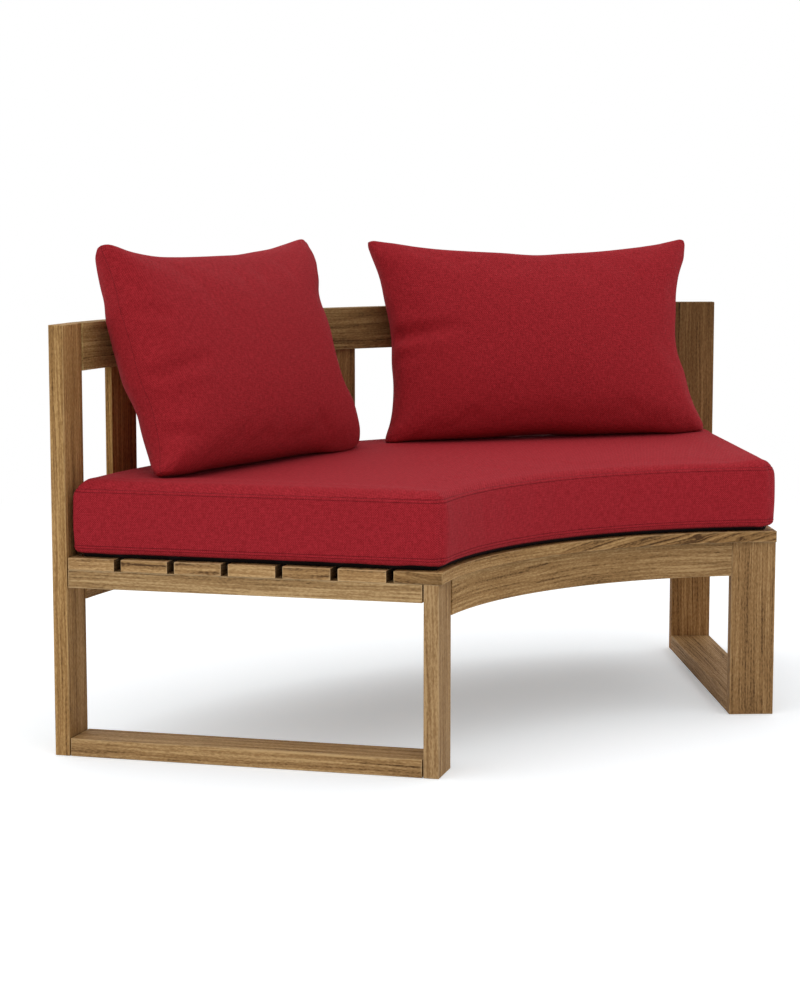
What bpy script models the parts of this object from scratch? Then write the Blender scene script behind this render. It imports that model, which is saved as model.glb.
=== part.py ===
"""Curved garden bench: one fifth of a ring in teak, with a boxed seat cushion and two back pillows.

Two end frames, each a closed loop of four boards, carry two curved aprons, a curved back rail and
curved seat slats. Every joint is a mortise and tenon, and the seat slats are screwed from below.
Metres, +Z up. The origin is on the ground, under the middle of the frame, and +Y points to the back.
"""
import math
from dataclasses import dataclass

import bmesh
import bpy
from mathutils import Matrix, Vector

# Plan of the frame, measured from the centre of the ring, which lies in front of the seat
SECTOR = math.radians(72.0)
FRONT_RADIUS = 0.638  # front face of the front legs, at the end frames
FRAME_DEPTH = 0.635  # front of the legs to the back of the posts
FRAME_HEIGHT = 0.686
ARC_STEPS = 24  # facets of a curved board over the whole sector

# Boards of the frame
BOARD_WIDTH = 0.076
BOARD_THICKNESS = 0.0285
ARRIS = 0.002  # chamfer on the long edges
SEAT_FRAME_TOP = 0.300
APRON_HEIGHT = 0.058
BACK_RAIL_HEIGHT = 0.076
BEARER_HEIGHT = 0.042
BEARER_ANGLE = math.radians(12.0)  # each side of the middle

# Joints
JOINT_GAP = 0.0003
SHOULDER = 0.009  # from a board's face to the tenon's cheek
LOOP_TENON = 0.018  # rails of the end frames, into the posts and legs
CURVED_TENON = 0.028  # aprons and back rail, into the posts and legs
BEARER_TENON = 0.012
TENON_SPACING = 0.004  # wood left between two mortises that meet at a corner
OVERRUN = 0.005  # how far a cut runs past the face it starts on

# Seat slats, from front to back
SLAT_COUNT = 7
SLAT_THICKNESS = 0.019
SLAT_GAP = 0.0115
SLAT_OVERHANG = 0.0035  # front slat past the legs

# Back slats, from left to right
BACK_SLAT_COUNT = 7
BACK_SLAT_WIDTH = 0.076
BACK_SLAT_THICKNESS = 0.013
BACK_SLAT_HOUSING = 0.012  # depth of each slat in the rail and in the apron
BACK_SLAT_ARRIS = 0.0015

# Screws that hold the seat slats, driven from below
SCREW_GRIP = 0.022  # wood under the slat that the head pulls on
SCREW_REACH = 0.014  # length in the slat
SCREW_RADIUS = 0.0022
SCREW_POINT = 0.004
SCREW_HEAD_RADIUS = 0.0042
SCREW_HEAD_HEIGHT = 0.003
SCREW_SIDES = 10
SCREW_EDGE_DISTANCE = 0.020  # from the end of the wood that the screw goes through

# Seat cushion
CUSHION_FRONT_OVERHANG = 0.003  # side panel past the front of the legs
CUSHION_END_INSET = 0.005
CUSHION_BACK_CLEARANCE = 0.0075  # to the back rail's face line
CUSHION_LOWER_SEAM = 0.0175  # heights above the slats
CUSHION_UPPER_SEAM = 0.1075
CUSHION_TOP = 0.1175
CUSHION_CROWN = 0.0055
CUSHION_SIDE_BULGE = 0.003
CUSHION_EDGE_ROUND = 0.022
CUSHION_CORNER_RADIUS = 0.020
CUSHION_ARC_CELLS = 36
CUSHION_RADIAL_CELLS = 10
CUSHION_SIDE_CELLS = 3

# Pillows, standing on the seat cushion and leaning on the back rail. A draw is how far an edge
# pulls in between its corners. Angles go round the ring from the middle of the bench, and a twist
# turns the pillow away from the ring's centre.
LEFT_PILLOW_WIDTH = 0.578
LEFT_PILLOW_HEIGHT = 0.391
LEFT_PILLOW_HALF_THICKNESS = 0.082
LEFT_PILLOW_SIDE_DRAW = 0.026
LEFT_PILLOW_TOP_DRAW = 0.034
LEFT_PILLOW_FOOT_DRAW = 0.012
LEFT_PILLOW_ANGLE = math.radians(-18.0)
LEFT_PILLOW_TWIST = math.radians(2.3)
LEFT_PILLOW_LEAN = math.radians(16.6)
RIGHT_PILLOW_WIDTH = 0.657
RIGHT_PILLOW_HEIGHT = 0.381
RIGHT_PILLOW_HALF_THICKNESS = 0.078
RIGHT_PILLOW_SIDE_DRAW = 0.040
RIGHT_PILLOW_TOP_DRAW = 0.031
RIGHT_PILLOW_FOOT_DRAW = 0.004
RIGHT_PILLOW_ANGLE = math.radians(17.8)
RIGHT_PILLOW_TWIST = math.radians(0.7)
RIGHT_PILLOW_LEAN = math.radians(13.6)
PILLOW_CORNER_RADIUS = 0.020
PILLOW_FULLNESS = 0.27  # exponent of the rise from the seam: lower is fuller
PILLOW_CELLS_ACROSS = 22
PILLOW_CELLS_UP = 14
SEATING_PASSES = 12  # a pillow is pushed back and let down in turn until it rests

# Places that follow from the sizes above
HALF_SECTOR = SECTOR / 2
STEP = SECTOR / ARC_STEPS
FACET = math.cos(STEP / 2)  # a facet's middle lies this share of the radius from the centre
LEG_BACK = FRONT_RADIUS + BOARD_THICKNESS
POST_FACE = FRONT_RADIUS + FRAME_DEPTH - BOARD_THICKNESS
POST_BACK = FRONT_RADIUS + FRAME_DEPTH
SIDE_RAIL_LOW = SEAT_FRAME_TOP - BOARD_THICKNESS
APRON_LOW = SEAT_FRAME_TOP - APRON_HEIGHT
BACK_RAIL_LOW = FRAME_HEIGHT - BACK_RAIL_HEIGHT
BEARER_LOW = SEAT_FRAME_TOP - BEARER_HEIGHT
FRONT_APRON_FACE = math.hypot(FRONT_RADIUS, BOARD_WIDTH)
FRONT_APRON_BACK = math.hypot(LEG_BACK, BOARD_WIDTH)
REAR_FACE = math.hypot(POST_FACE, BOARD_WIDTH)
REAR_BACK = math.hypot(POST_BACK, BOARD_WIDTH)
SLAT_LOW = SEAT_FRAME_TOP + JOINT_GAP
SLAT_TOP = SLAT_LOW + SLAT_THICKNESS
SLAT_FIRST = FRONT_RADIUS - SLAT_OVERHANG
SLAT_LAST = POST_FACE - 2 * JOINT_GAP
SLAT_PITCH = (SLAT_LAST - SLAT_FIRST + SLAT_GAP) / SLAT_COUNT
SLAT_WIDTH = SLAT_PITCH - SLAT_GAP
LOOP_TENON_WIDTH = (SHOULDER, BOARD_WIDTH - CURVED_TENON - TENON_SPACING)
SCREW_SEAT = SEAT_FRAME_TOP - SCREW_GRIP
RING_Y = -(SLAT_FIRST * math.cos(HALF_SECTOR) + REAR_BACK) / 2

CUSHION_FLOOR = SLAT_TOP + JOINT_GAP
CUSHION_FRONT = FRONT_RADIUS - CUSHION_FRONT_OVERHANG
CUSHION_BACK = REAR_FACE - CUSHION_BACK_CLEARANCE

TEAK = {"color": (0.30, 0.19, 0.095), "roughness": 0.62, "metallic": 0.0}
SHADED_TEAK = {"color": (0.24, 0.15, 0.075), "roughness": 0.66, "metallic": 0.0}
SEAT_CLOTH = {"color": (0.33, 0.018, 0.035), "roughness": 0.9, "metallic": 0.0}
PILLOW_CLOTH = {"color": (0.30, 0.016, 0.032), "roughness": 0.9, "metallic": 0.0}
STAINLESS = {"color": (0.62, 0.61, 0.59), "roughness": 0.3, "metallic": 1.0}


def clear_scene():
    """Removes whatever objects the file started with."""
    for old in list(bpy.data.objects):
        bpy.data.objects.remove(old, do_unlink=True)


def material(name, finish):
    """A Principled material, made once for each name."""
    found = bpy.data.materials.get(name)
    if found:
        return found
    made = bpy.data.materials.new(name)
    made.use_nodes = True
    shader = made.node_tree.nodes["Principled BSDF"]
    shader.inputs["Base Color"].default_value = (*finish["color"], 1.0)
    shader.inputs["Roughness"].default_value = finish["roughness"]
    shader.inputs["Metallic"].default_value = finish["metallic"]
    return made


def add_object(name, bm, finish, finish_name, parent):
    """Turns a bmesh into a named object under its parent."""
    mesh = bpy.data.meshes.new(name)
    bm.to_mesh(mesh)
    bm.free()
    made = bpy.data.objects.new(name, mesh)
    bpy.context.scene.collection.objects.link(made)
    made.parent = parent
    if finish:
        mesh.materials.append(material(finish_name, finish))
    return made


def add_empty(name, parent=None, location=(0, 0, 0), turn=0.0):
    """An empty that carries the pieces of one assembly."""
    made = bpy.data.objects.new(name, None)
    bpy.context.scene.collection.objects.link(made)
    made.parent = parent
    made.location = location
    made.rotation_euler = (0, 0, turn)
    return made


def heading(side, angle):
    """Turn about Z that points +X outwards along the radius, angle away from the middle of the bench."""
    return math.pi / 2 - side * angle


def block_matrix(turn, along, across, up):
    """Unit cube to a block: along the turned +X, across it and up, each a (low, high) pair."""
    ranges = (along, across, up)
    centre = Vector([(low + high) / 2 for low, high in ranges])
    size = [high - low for low, high in ranges]
    return Matrix.Rotation(turn, 4, "Z") @ Matrix.Translation(centre) @ Matrix.Diagonal((*size, 1.0))


def grown(span, margin):
    return (span[0] - margin, span[1] + margin)


def add_block(bm, matrix):
    bmesh.ops.create_cube(bm, size=1.0, matrix=matrix)


def helper(name, bm, parent):
    """A shape that only cuts or joins: it shows as a wire and isn't part of the bench."""
    made = add_object(name, bm, None, "", parent)
    made.hide_render = True
    made.display_type = "WIRE"
    return made


def combine(target, tool, operation):
    """Joins the tool to the target, or cuts it out, with a live Boolean."""
    boolean = target.modifiers.new(tool.name, "BOOLEAN")
    boolean.operation = operation
    boolean.solver = "EXACT"
    boolean.object = tool


def chamfer(bm, edges, width):
    bmesh.ops.bevel(
        bm, geom=edges, offset=width, offset_type="OFFSET", affect="EDGES",
        segments=1, profile=0.5, clamp_overlap=True, material=-1,
    )


def straight_board(name, size, arris, parent, location, turn=0.0, finish=TEAK, all_edges=False):
    """A board centred on its own origin; size is (x, y, z), and the longest side keeps its ends square."""
    bm = bmesh.new()
    add_block(bm, Matrix.Diagonal((*size, 1.0)))
    axis = max(range(3), key=lambda i: size[i])
    edges = []
    for edge in bm.edges:
        direction = edge.verts[1].co - edge.verts[0].co
        if all_edges or abs(direction[axis]) > size[axis] / 2:
            edges.append(edge)
    chamfer(bm, edges, arris)
    made = add_object(name, bm, finish, "teak_" + name.rstrip("0123456789_"), parent)
    made.location = location
    made.rotation_euler = (0, 0, turn)
    return made


def curved_profile(bm, inner, outer, low, high, arris):
    """A board's chamfered section, on the left end plane of the sector."""
    out = Vector((-math.sin(HALF_SECTOR), math.cos(HALF_SECTOR), 0))
    corners = [(inner, low), (outer, low), (outer, high), (inner, high)]
    verts = [bm.verts.new(out * radius + Vector((0, 0, z))) for radius, z in corners]
    bm.faces.new(verts)
    bmesh.ops.bevel(
        bm, geom=verts, offset=arris, offset_type="OFFSET", affect="VERTICES",
        segments=1, profile=0.5, clamp_overlap=True, material=-1,
    )


def trim_ends(bm, inset):
    """Cuts both ends of a curved board parallel to the end frames, inset from their outer faces."""
    for side in (-1, 1):
        inward = Vector((-side * math.cos(HALF_SECTOR), math.sin(HALF_SECTOR), 0))
        bmesh.ops.bisect_plane(
            bm, geom=bm.verts[:] + bm.edges[:] + bm.faces[:], dist=JOINT_GAP / 100,
            plane_co=inward * inset, plane_no=-inward, clear_outer=True,
        )
        rim = [edge for edge in bm.edges if edge.is_boundary]
        bmesh.ops.holes_fill(bm, edges=rim, sides=0)


def curved_board(name, inner, outer, low, high, arris, parent, inset=0.0, finish=TEAK):
    """A board on an arc round the ring's centre, swept over the sector and trimmed to the end frames."""
    bm = bmesh.new()
    curved_profile(bm, inner, outer, low, high, arris)
    bmesh.ops.spin(
        bm, geom=bm.verts[:] + bm.edges[:] + bm.faces[:], cent=(0, 0, 0), axis=(0, 0, -1),
        angle=SECTOR, steps=ARC_STEPS, use_merge=False, use_duplicate=False,
    )
    if inset:
        trim_ends(bm, inset)
    bmesh.ops.recalc_face_normals(bm, faces=bm.faces[:])
    return add_object(name, bm, finish, "teak_" + name.rstrip("0123456789_"), parent)


def turned(bm, profile, place, sides):
    """Turns a profile of (radius, height) points about a vertical axis at place."""
    verts = [bm.verts.new(place + Vector((radius, 0, z))) for radius, z in profile]
    edges = [bm.edges.new(pair) for pair in zip(verts, verts[1:])]
    bmesh.ops.spin(
        bm, geom=verts + edges, cent=place, axis=(0, 0, 1), angle=2 * math.pi,
        steps=sides, use_merge=True, use_duplicate=False,
    )
    bmesh.ops.remove_doubles(bm, verts=bm.verts[:], dist=JOINT_GAP / 100)
    bmesh.ops.recalc_face_normals(bm, faces=bm.faces[:])


def loop_joints():
    """Tenon blocks of the end frames' rails, as (rail, post or leg, along, across, up)."""
    full_width = (SHOULDER, BOARD_WIDTH - SHOULDER)
    bottom = (SHOULDER, BOARD_THICKNESS - SHOULDER)
    top = (SIDE_RAIL_LOW + SHOULDER, SEAT_FRAME_TOP - SHOULDER)
    into_leg = (LEG_BACK - LOOP_TENON, LEG_BACK)
    into_post = (POST_FACE, POST_FACE + LOOP_TENON)
    return [
        ("bottom_rail", "front_leg", into_leg, full_width, bottom),
        ("bottom_rail", "rear_post", into_post, full_width, bottom),
        ("side_rail", "front_leg", into_leg, LOOP_TENON_WIDTH, top),
        ("side_rail", "rear_post", into_post, LOOP_TENON_WIDTH, top),
    ]


def curved_joints():
    """Tenon blocks of the curved boards, as (board, post or leg, along, across, up)."""
    reach = (BOARD_WIDTH - CURVED_TENON, BOARD_WIDTH)
    leg_cheeks = (FRONT_RADIUS + SHOULDER, LEG_BACK - SHOULDER)
    post_cheeks = (POST_FACE + SHOULDER, POST_BACK - SHOULDER)
    apron = (APRON_LOW + SHOULDER, SEAT_FRAME_TOP - SHOULDER)
    rail = (BACK_RAIL_LOW + SHOULDER, FRAME_HEIGHT - SHOULDER)
    return [
        ("front_apron", "front_leg", leg_cheeks, reach, apron),
        ("rear_apron", "rear_post", post_cheeks, reach, apron),
        ("back_rail", "rear_post", post_cheeks, reach, rail),
    ]


def mirrored(side, span):
    """A distance in from the end frame's outer face, as a span of the turned +Y axis."""
    ends = (side * span[0], side * span[1])
    return (min(ends), max(ends))


def add_end_frame(side, label, ring):
    """Post, leg and two rails of one end frame, with the mortises that every joint needs."""
    turn = heading(side, HALF_SECTOR)
    carrier = add_empty(label + "_end_frame", ring, turn=turn)
    middle = side * BOARD_WIDTH / 2
    clear_length = POST_FACE - LEG_BACK - 2 * JOINT_GAP
    clear_middle = (POST_FACE + LEG_BACK) / 2
    upright = (BOARD_THICKNESS, BOARD_WIDTH)
    flat = (clear_length, BOARD_WIDTH, BOARD_THICKNESS)
    pieces = {
        "rear_post": straight_board(
            label + "_rear_post", (*upright, FRAME_HEIGHT), ARRIS, carrier,
            (POST_FACE + BOARD_THICKNESS / 2, middle, FRAME_HEIGHT / 2), all_edges=True),
        "front_leg": straight_board(
            label + "_front_leg", (*upright, SEAT_FRAME_TOP), ARRIS, carrier,
            (FRONT_RADIUS + BOARD_THICKNESS / 2, middle, SEAT_FRAME_TOP / 2), all_edges=True),
        "bottom_rail": straight_board(
            label + "_bottom_rail", flat, ARRIS, carrier, (clear_middle, middle, BOARD_THICKNESS / 2)),
        "side_rail": straight_board(
            label + "_side_rail", flat, ARRIS, carrier,
            (clear_middle, middle, SEAT_FRAME_TOP - BOARD_THICKNESS / 2)),
    }
    for rail in ("bottom_rail", "side_rail"):
        bm = bmesh.new()
        for board, carries, along, across, up in loop_joints():
            if board == rail:
                inward = (JOINT_GAP, OVERRUN) if carries == "front_leg" else (OVERRUN, JOINT_GAP)
                low = along[0] + inward[0] if carries == "front_leg" else along[0] - inward[0]
                high = along[1] + inward[1] if carries == "front_leg" else along[1] - inward[1]
                add_block(bm, block_matrix(turn, (low, high), mirrored(side, across), up))
        combine(pieces[rail], helper(f"{label}_{rail}_tenons", bm, ring), "UNION")
    for upright_name in ("front_leg", "rear_post"):
        bm = bmesh.new()
        for board, carries, along, across, up in loop_joints():
            if carries == upright_name:
                towards_rail = (0, OVERRUN) if carries == "front_leg" else (-OVERRUN, 0)
                span = (along[0] + towards_rail[0], along[1] + towards_rail[1])
                add_block(bm, block_matrix(
                    turn, span, mirrored(side, grown(across, JOINT_GAP)), grown(up, JOINT_GAP)))
        for board, carries, along, across, up in curved_joints():
            if carries == upright_name:
                span = (across[0], across[1] + OVERRUN)
                add_block(bm, block_matrix(
                    turn, grown(along, JOINT_GAP), mirrored(side, span), grown(up, JOINT_GAP)))
        combine(pieces[upright_name], helper(f"{label}_{upright_name}_mortises", bm, ring), "DIFFERENCE")
    return pieces


def add_curved_boards(ring):
    """Front apron, rear apron and back rail, each with a tenon at both ends."""
    inset = BOARD_WIDTH + JOINT_GAP
    boards = {
        "front_apron": curved_board(
            "front_apron", FRONT_APRON_FACE, FRONT_APRON_BACK, APRON_LOW, SEAT_FRAME_TOP,
            ARRIS, ring, inset),
        "rear_apron": curved_board(
            "rear_apron", REAR_FACE, REAR_BACK, APRON_LOW, SEAT_FRAME_TOP, ARRIS, ring, inset,
            SHADED_TEAK),
        "back_rail": curved_board(
            "back_rail", REAR_FACE, REAR_BACK, BACK_RAIL_LOW, FRAME_HEIGHT, ARRIS, ring, inset),
    }
    for name, board in boards.items():
        bm = bmesh.new()
        for side in (-1, 1):
            turn = heading(side, HALF_SECTOR)
            for owner, carries, along, across, up in curved_joints():
                if owner == name:
                    span = (across[0] + JOINT_GAP, across[1] + OVERRUN)
                    add_block(bm, block_matrix(turn, along, mirrored(side, span), up))
        combine(board, helper(name + "_tenons", bm, ring), "UNION")
    return boards


def add_bearers(boards, ring):
    """Two radial bearers under the slats, let into both aprons."""
    low, high = FRONT_APRON_BACK + JOINT_GAP, REAR_FACE * FACET - JOINT_GAP
    half = BOARD_THICKNESS / 2
    cheeks = (SHOULDER - half, half - SHOULDER)
    up = (BEARER_LOW + SHOULDER, SEAT_FRAME_TOP - SHOULDER)
    bearers = {}
    mortises = {"front_apron": bmesh.new(), "rear_apron": bmesh.new()}
    for side, label in ((-1, "left"), (1, "right")):
        turn = heading(side, BEARER_ANGLE)
        centre = Matrix.Rotation(turn, 3, "Z") @ Vector(((low + high) / 2, 0, 0))
        centre.z = SEAT_FRAME_TOP - BEARER_HEIGHT / 2
        bearer = straight_board(
            label + "_bearer", (high - low, BOARD_THICKNESS, BEARER_HEIGHT), ARRIS, ring,
            centre, turn, SHADED_TEAK)
        tenons = bmesh.new()
        front = (FRONT_APRON_BACK - BEARER_TENON, FRONT_APRON_BACK)
        rear = (REAR_FACE, REAR_FACE + BEARER_TENON)
        add_block(tenons, block_matrix(turn, (front[0] + JOINT_GAP, front[1] + OVERRUN), cheeks, up))
        add_block(tenons, block_matrix(turn, (rear[0] - OVERRUN, rear[1] - JOINT_GAP), cheeks, up))
        combine(bearer, helper(label + "_bearer_tenons", tenons, ring), "UNION")
        wide, tall = grown(cheeks, JOINT_GAP), grown(up, JOINT_GAP)
        add_block(mortises["front_apron"], block_matrix(turn, (front[0], front[1] + OVERRUN), wide, tall))
        add_block(mortises["rear_apron"], block_matrix(turn, (rear[0] - OVERRUN, rear[1]), wide, tall))
        bearers[label] = bearer
    for name, bm in mortises.items():
        combine(boards[name], helper(name + "_bearer_mortises", bm, ring), "DIFFERENCE")
    return bearers


def back_slat_angles(radius):
    """Headings of the back slats: equal gaps between the slats and to both posts."""
    clear = 2 * (HALF_SECTOR - math.asin(BOARD_WIDTH / radius))
    width = 2 * math.asin(BACK_SLAT_WIDTH / (2 * radius))
    gap = (clear - BACK_SLAT_COUNT * width) / (BACK_SLAT_COUNT + 1)
    first = -clear / 2 + gap + width / 2
    return [first + index * (gap + width) for index in range(BACK_SLAT_COUNT)]


def add_back_slats(boards, ring):
    """Upright slats whose ends are housed in the back rail and in the rear apron."""
    radius = (REAR_FACE + REAR_BACK) / 2
    low = SEAT_FRAME_TOP - BACK_SLAT_HOUSING + JOINT_GAP
    high = BACK_RAIL_LOW + BACK_SLAT_HOUSING - JOINT_GAP
    size = (BACK_SLAT_THICKNESS, BACK_SLAT_WIDTH, high - low)
    along = (radius - BACK_SLAT_THICKNESS / 2, radius + BACK_SLAT_THICKNESS / 2)
    across = (-BACK_SLAT_WIDTH / 2, BACK_SLAT_WIDTH / 2)
    housings = {"back_rail": bmesh.new(), "rear_apron": bmesh.new()}
    spans = {
        "back_rail": (BACK_RAIL_LOW - OVERRUN, BACK_RAIL_LOW + BACK_SLAT_HOUSING),
        "rear_apron": (SEAT_FRAME_TOP - BACK_SLAT_HOUSING, SEAT_FRAME_TOP + OVERRUN),
    }
    for index, angle in enumerate(back_slat_angles(radius), start=1):
        turn = heading(1, angle)
        place = Matrix.Rotation(turn, 3, "Z") @ Vector((radius, 0, 0))
        place.z = (low + high) / 2
        straight_board(f"back_slat_{index}", size, BACK_SLAT_ARRIS, ring, place, turn)
        for name, span in spans.items():
            add_block(housings[name], block_matrix(
                turn, grown(along, JOINT_GAP), grown(across, JOINT_GAP), span))
    for name, bm in housings.items():
        combine(boards[name], helper(name + "_slat_housings", bm, ring), "DIFFERENCE")


def slat_radii(index):
    inner = SLAT_FIRST + index * SLAT_PITCH
    return inner, inner + SLAT_WIDTH


def screw_places():
    """Every screw as (name, slat index, board it goes through, underside of that board, place on plan)."""
    places = []
    for side, label in ((-1, "left"), (1, "right")):
        for index in range(SLAT_COUNT):
            inner, outer = slat_radii(index)
            on_rail = max((inner + outer) / 2, LEG_BACK + SCREW_EDGE_DISTANCE)
            spot = Vector((on_rail, side * BOARD_WIDTH / 2, 0))
            rail_turn = Matrix.Rotation(heading(side, HALF_SECTOR), 3, "Z")
            places.append((f"{label}_rail_screw_{index + 1}", index, label + "_side_rail",
                           SIDE_RAIL_LOW, rail_turn @ spot))
            on_bearer = max((inner + outer) / 2, FRONT_APRON_BACK + SCREW_EDGE_DISTANCE)
            bearer_turn = Matrix.Rotation(heading(side, BEARER_ANGLE), 3, "Z")
            places.append((f"{label}_bearer_screw_{index + 1}", index, label + "_bearer",
                           BEARER_LOW, bearer_turn @ Vector((on_bearer, 0, 0))))
    return places


def screw_profile(margin):
    """Half outline of a screw, point up, grown by margin for the hole that it sits in."""
    tip = SLAT_LOW + SCREW_REACH
    return [
        (0, SCREW_SEAT - SCREW_HEAD_HEIGHT - margin),
        (SCREW_HEAD_RADIUS + margin, SCREW_SEAT - SCREW_HEAD_HEIGHT - margin),
        (SCREW_HEAD_RADIUS + margin, SCREW_SEAT),
        (SCREW_RADIUS + margin, SCREW_SEAT),
        (SCREW_RADIUS + margin, tip - SCREW_POINT),
        (0, tip + margin),
    ]


def add_seat_slats_and_screws(carriers, ring):
    """Seven curved slats on the side rails and bearers, and a screw through each crossing."""
    places = screw_places()
    for index in range(SLAT_COUNT):
        inner, outer = slat_radii(index)
        slat = curved_board(f"seat_slat_{index + 1}", inner, outer, SLAT_LOW, SLAT_TOP, ARRIS, ring)
        holes = bmesh.new()
        for _, slat_index, _, _, place in places:
            if slat_index == index:
                shank, shoulder, tip = screw_profile(JOINT_GAP)[3:]
                mouth = SLAT_LOW - OVERRUN
                turned(holes, [(0, mouth), (shank[0], mouth), shoulder, tip], place, SCREW_SIDES)
        combine(slat, helper(f"seat_slat_{index + 1}_holes", holes, ring), "DIFFERENCE")
    for name, carrier in carriers.items():
        bores = bmesh.new()
        for _, _, board, underside, place in places:
            if board == name:
                head, seat, neck = screw_profile(JOINT_GAP)[1:4]
                mouth, shelf, top = underside - OVERRUN, SCREW_SEAT + JOINT_GAP, SEAT_FRAME_TOP + OVERRUN
                lower = [(0, mouth), (head[0], mouth), (seat[0], shelf)]
                profile = lower + [(neck[0], shelf), (neck[0], top), (0, top)]
                turned(bores, profile, place, SCREW_SIDES)
        combine(carrier, helper(name + "_screw_bores", bores, ring), "DIFFERENCE")
    for name, _, _, _, place in places:
        bm = bmesh.new()
        turned(bm, screw_profile(0), Vector((0, 0, 0)), SCREW_SIDES)
        screw = add_object(name, bm, STAINLESS, "stainless_screw", ring)
        screw.location = place


def rounded_rise(distance, reach):
    """Quarter-round from 0 at an edge to 1 once it is reach away from it."""
    rest = 1 - min(max(distance / reach, 0), 1)
    return math.sqrt(1 - rest * rest)


def cushion_top(along_share, out_share, edge_distance):
    """Height of the seat cushion's top panel above the slats: a rounded edge, then a low crown."""
    edge = CUSHION_UPPER_SEAM + (CUSHION_TOP - CUSHION_UPPER_SEAM) * rounded_rise(
        edge_distance, CUSHION_EDGE_ROUND)
    return edge + CUSHION_CROWN * (1 - along_share ** 2) * (1 - out_share ** 2)


def cushion_shares(x, y):
    """Where a point of the plan lies on the cushion: shares along and out, and distance to its edge."""
    radius = math.hypot(x, y)
    half_depth = (CUSHION_BACK - CUSHION_FRONT) / 2
    out_share = (radius - CUSHION_FRONT - half_depth) / half_depth
    half_length = radius * (HALF_SECTOR - math.asin(CUSHION_END_INSET / radius))
    along_share = radius * math.atan2(x, y) / half_length
    edge = min(half_depth * (1 - abs(out_share)), half_length * (1 - abs(along_share)))
    return along_share, out_share, edge


def round_corner(x, y, half_x, half_y, radius):
    """Draws the square contours of a panel round at its corners, inside the given radius."""
    over_x, over_y = abs(x) - (half_x - radius), abs(y) - (half_y - radius)
    if over_x <= 0 or over_y <= 0:
        return x, y
    length = math.hypot(over_x, over_y)
    keep = max(over_x, over_y) / length
    return (math.copysign(half_x - radius + over_x * keep, x),
            math.copysign(half_y - radius + over_y * keep, y))


def place_cushion_vertex(vert):
    """Moves a vertex of the unit box onto the boxed cushion, whose plan follows the ring."""
    half_depth = (CUSHION_BACK - CUSHION_FRONT) / 2
    along, out, up = vert.co
    along_share, out_share = math.sin(math.pi / 2 * along), math.sin(math.pi / 2 * out)
    radius = CUSHION_FRONT + half_depth * (1 + out_share)
    half_length = radius * (HALF_SECTOR - math.asin(CUSHION_END_INSET / radius))
    x, y = round_corner(half_length * along_share, half_depth * out_share,
                        half_length, half_depth, CUSHION_CORNER_RADIUS)
    edge = min(half_length - abs(half_length * along_share), half_depth * (1 - abs(out_share)))
    bulge = CUSHION_SIDE_BULGE * (1 - up * up)
    if abs(out) == 1:
        y += math.copysign(bulge, y)
    if abs(along) == 1:
        x += math.copysign(bulge, x)
    if up == 1:
        height = cushion_top(along_share, out_share, edge)
    elif up == -1:
        height = CUSHION_LOWER_SEAM * (1 - rounded_rise(edge, CUSHION_EDGE_ROUND))
    else:
        height = CUSHION_LOWER_SEAM + (CUSHION_UPPER_SEAM - CUSHION_LOWER_SEAM) * (1 + up) / 2
    radius = CUSHION_FRONT + half_depth + y
    angle = x / radius
    vert.co = (radius * math.sin(angle), radius * math.cos(angle), CUSHION_FLOOR + height)


def add_seat_cushion(ring):
    """A boxed cushion: top and bottom panels, a side band that bulges, soft corners and a crown."""
    bm = bmesh.new()
    bmesh.ops.create_grid(bm, x_segments=CUSHION_ARC_CELLS, y_segments=CUSHION_RADIAL_CELLS, size=1.0)
    for vert in bm.verts:
        vert.co.z = -1.0
    raised = bmesh.ops.extrude_face_region(bm, geom=bm.faces[:])["geom"]
    for item in raised:
        if isinstance(item, bmesh.types.BMVert):
            item.co.z = 1.0
    upright = [edge for edge in bm.edges if edge.verts[0].co.z != edge.verts[1].co.z]
    bmesh.ops.subdivide_edges(bm, edges=upright, cuts=CUSHION_SIDE_CELLS - 1, use_grid_fill=False)
    for vert in bm.verts:
        place_cushion_vertex(vert)
    bmesh.ops.recalc_face_normals(bm, faces=bm.faces[:])
    cushion = add_object("seat_cushion", bm, SEAT_CLOTH, "seat_cloth", ring)
    cushion.data.shade_smooth()
    return cushion


@dataclass
class Pillow:
    """Sizes and place of one pillow."""

    width: float
    height: float
    half_thickness: float
    side_draw: float
    top_draw: float
    foot_draw: float
    angle: float
    twist: float
    lean: float


def pillow_point(across, up, front, pillow):
    """A point of a knife-edge pillow from its shares across and up, -1 to 1, on its front or back."""
    draw = pillow.top_draw if up > 0 else pillow.foot_draw
    half_x = pillow.width / 2 - pillow.side_draw * (1 - up * up)
    half_z = pillow.height / 2 - draw * (1 - across * across)
    x, z = round_corner(half_x * across, half_z * up, half_x, half_z, PILLOW_CORNER_RADIUS)
    inside = (1 - across * across) * (1 - up * up)
    return Vector((x, -front * pillow.half_thickness * inside ** PILLOW_FULLNESS, z))


def pillow_shell(pillow):
    """Front and back panels of a pillow that share their seam."""
    bm = bmesh.new()
    for front in (1, -1):
        made = bmesh.ops.create_grid(
            bm, x_segments=PILLOW_CELLS_ACROSS, y_segments=PILLOW_CELLS_UP, size=1.0)["verts"]
        for vert in made:
            on_seam = max(abs(vert.co.x), abs(vert.co.y)) == 1
            across, up = (math.sin(math.pi / 2 * share) for share in vert.co.xy)
            point = pillow_point(across, up, front, pillow)
            vert.co = (point.x, 0 if on_seam else point.y, point.z)
        if front < 0:
            bmesh.ops.reverse_faces(bm, faces=list({face for vert in made for face in vert.link_faces}))
    bmesh.ops.remove_doubles(bm, verts=bm.verts[:], dist=JOINT_GAP / 100)
    bmesh.ops.triangulate(bm, faces=bm.faces[:])
    return bm


def seat_height(point):
    """Height of the cushion's top under a point of the plan."""
    return CUSHION_FLOOR + cushion_top(*cushion_shares(point.x, point.y))


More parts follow.
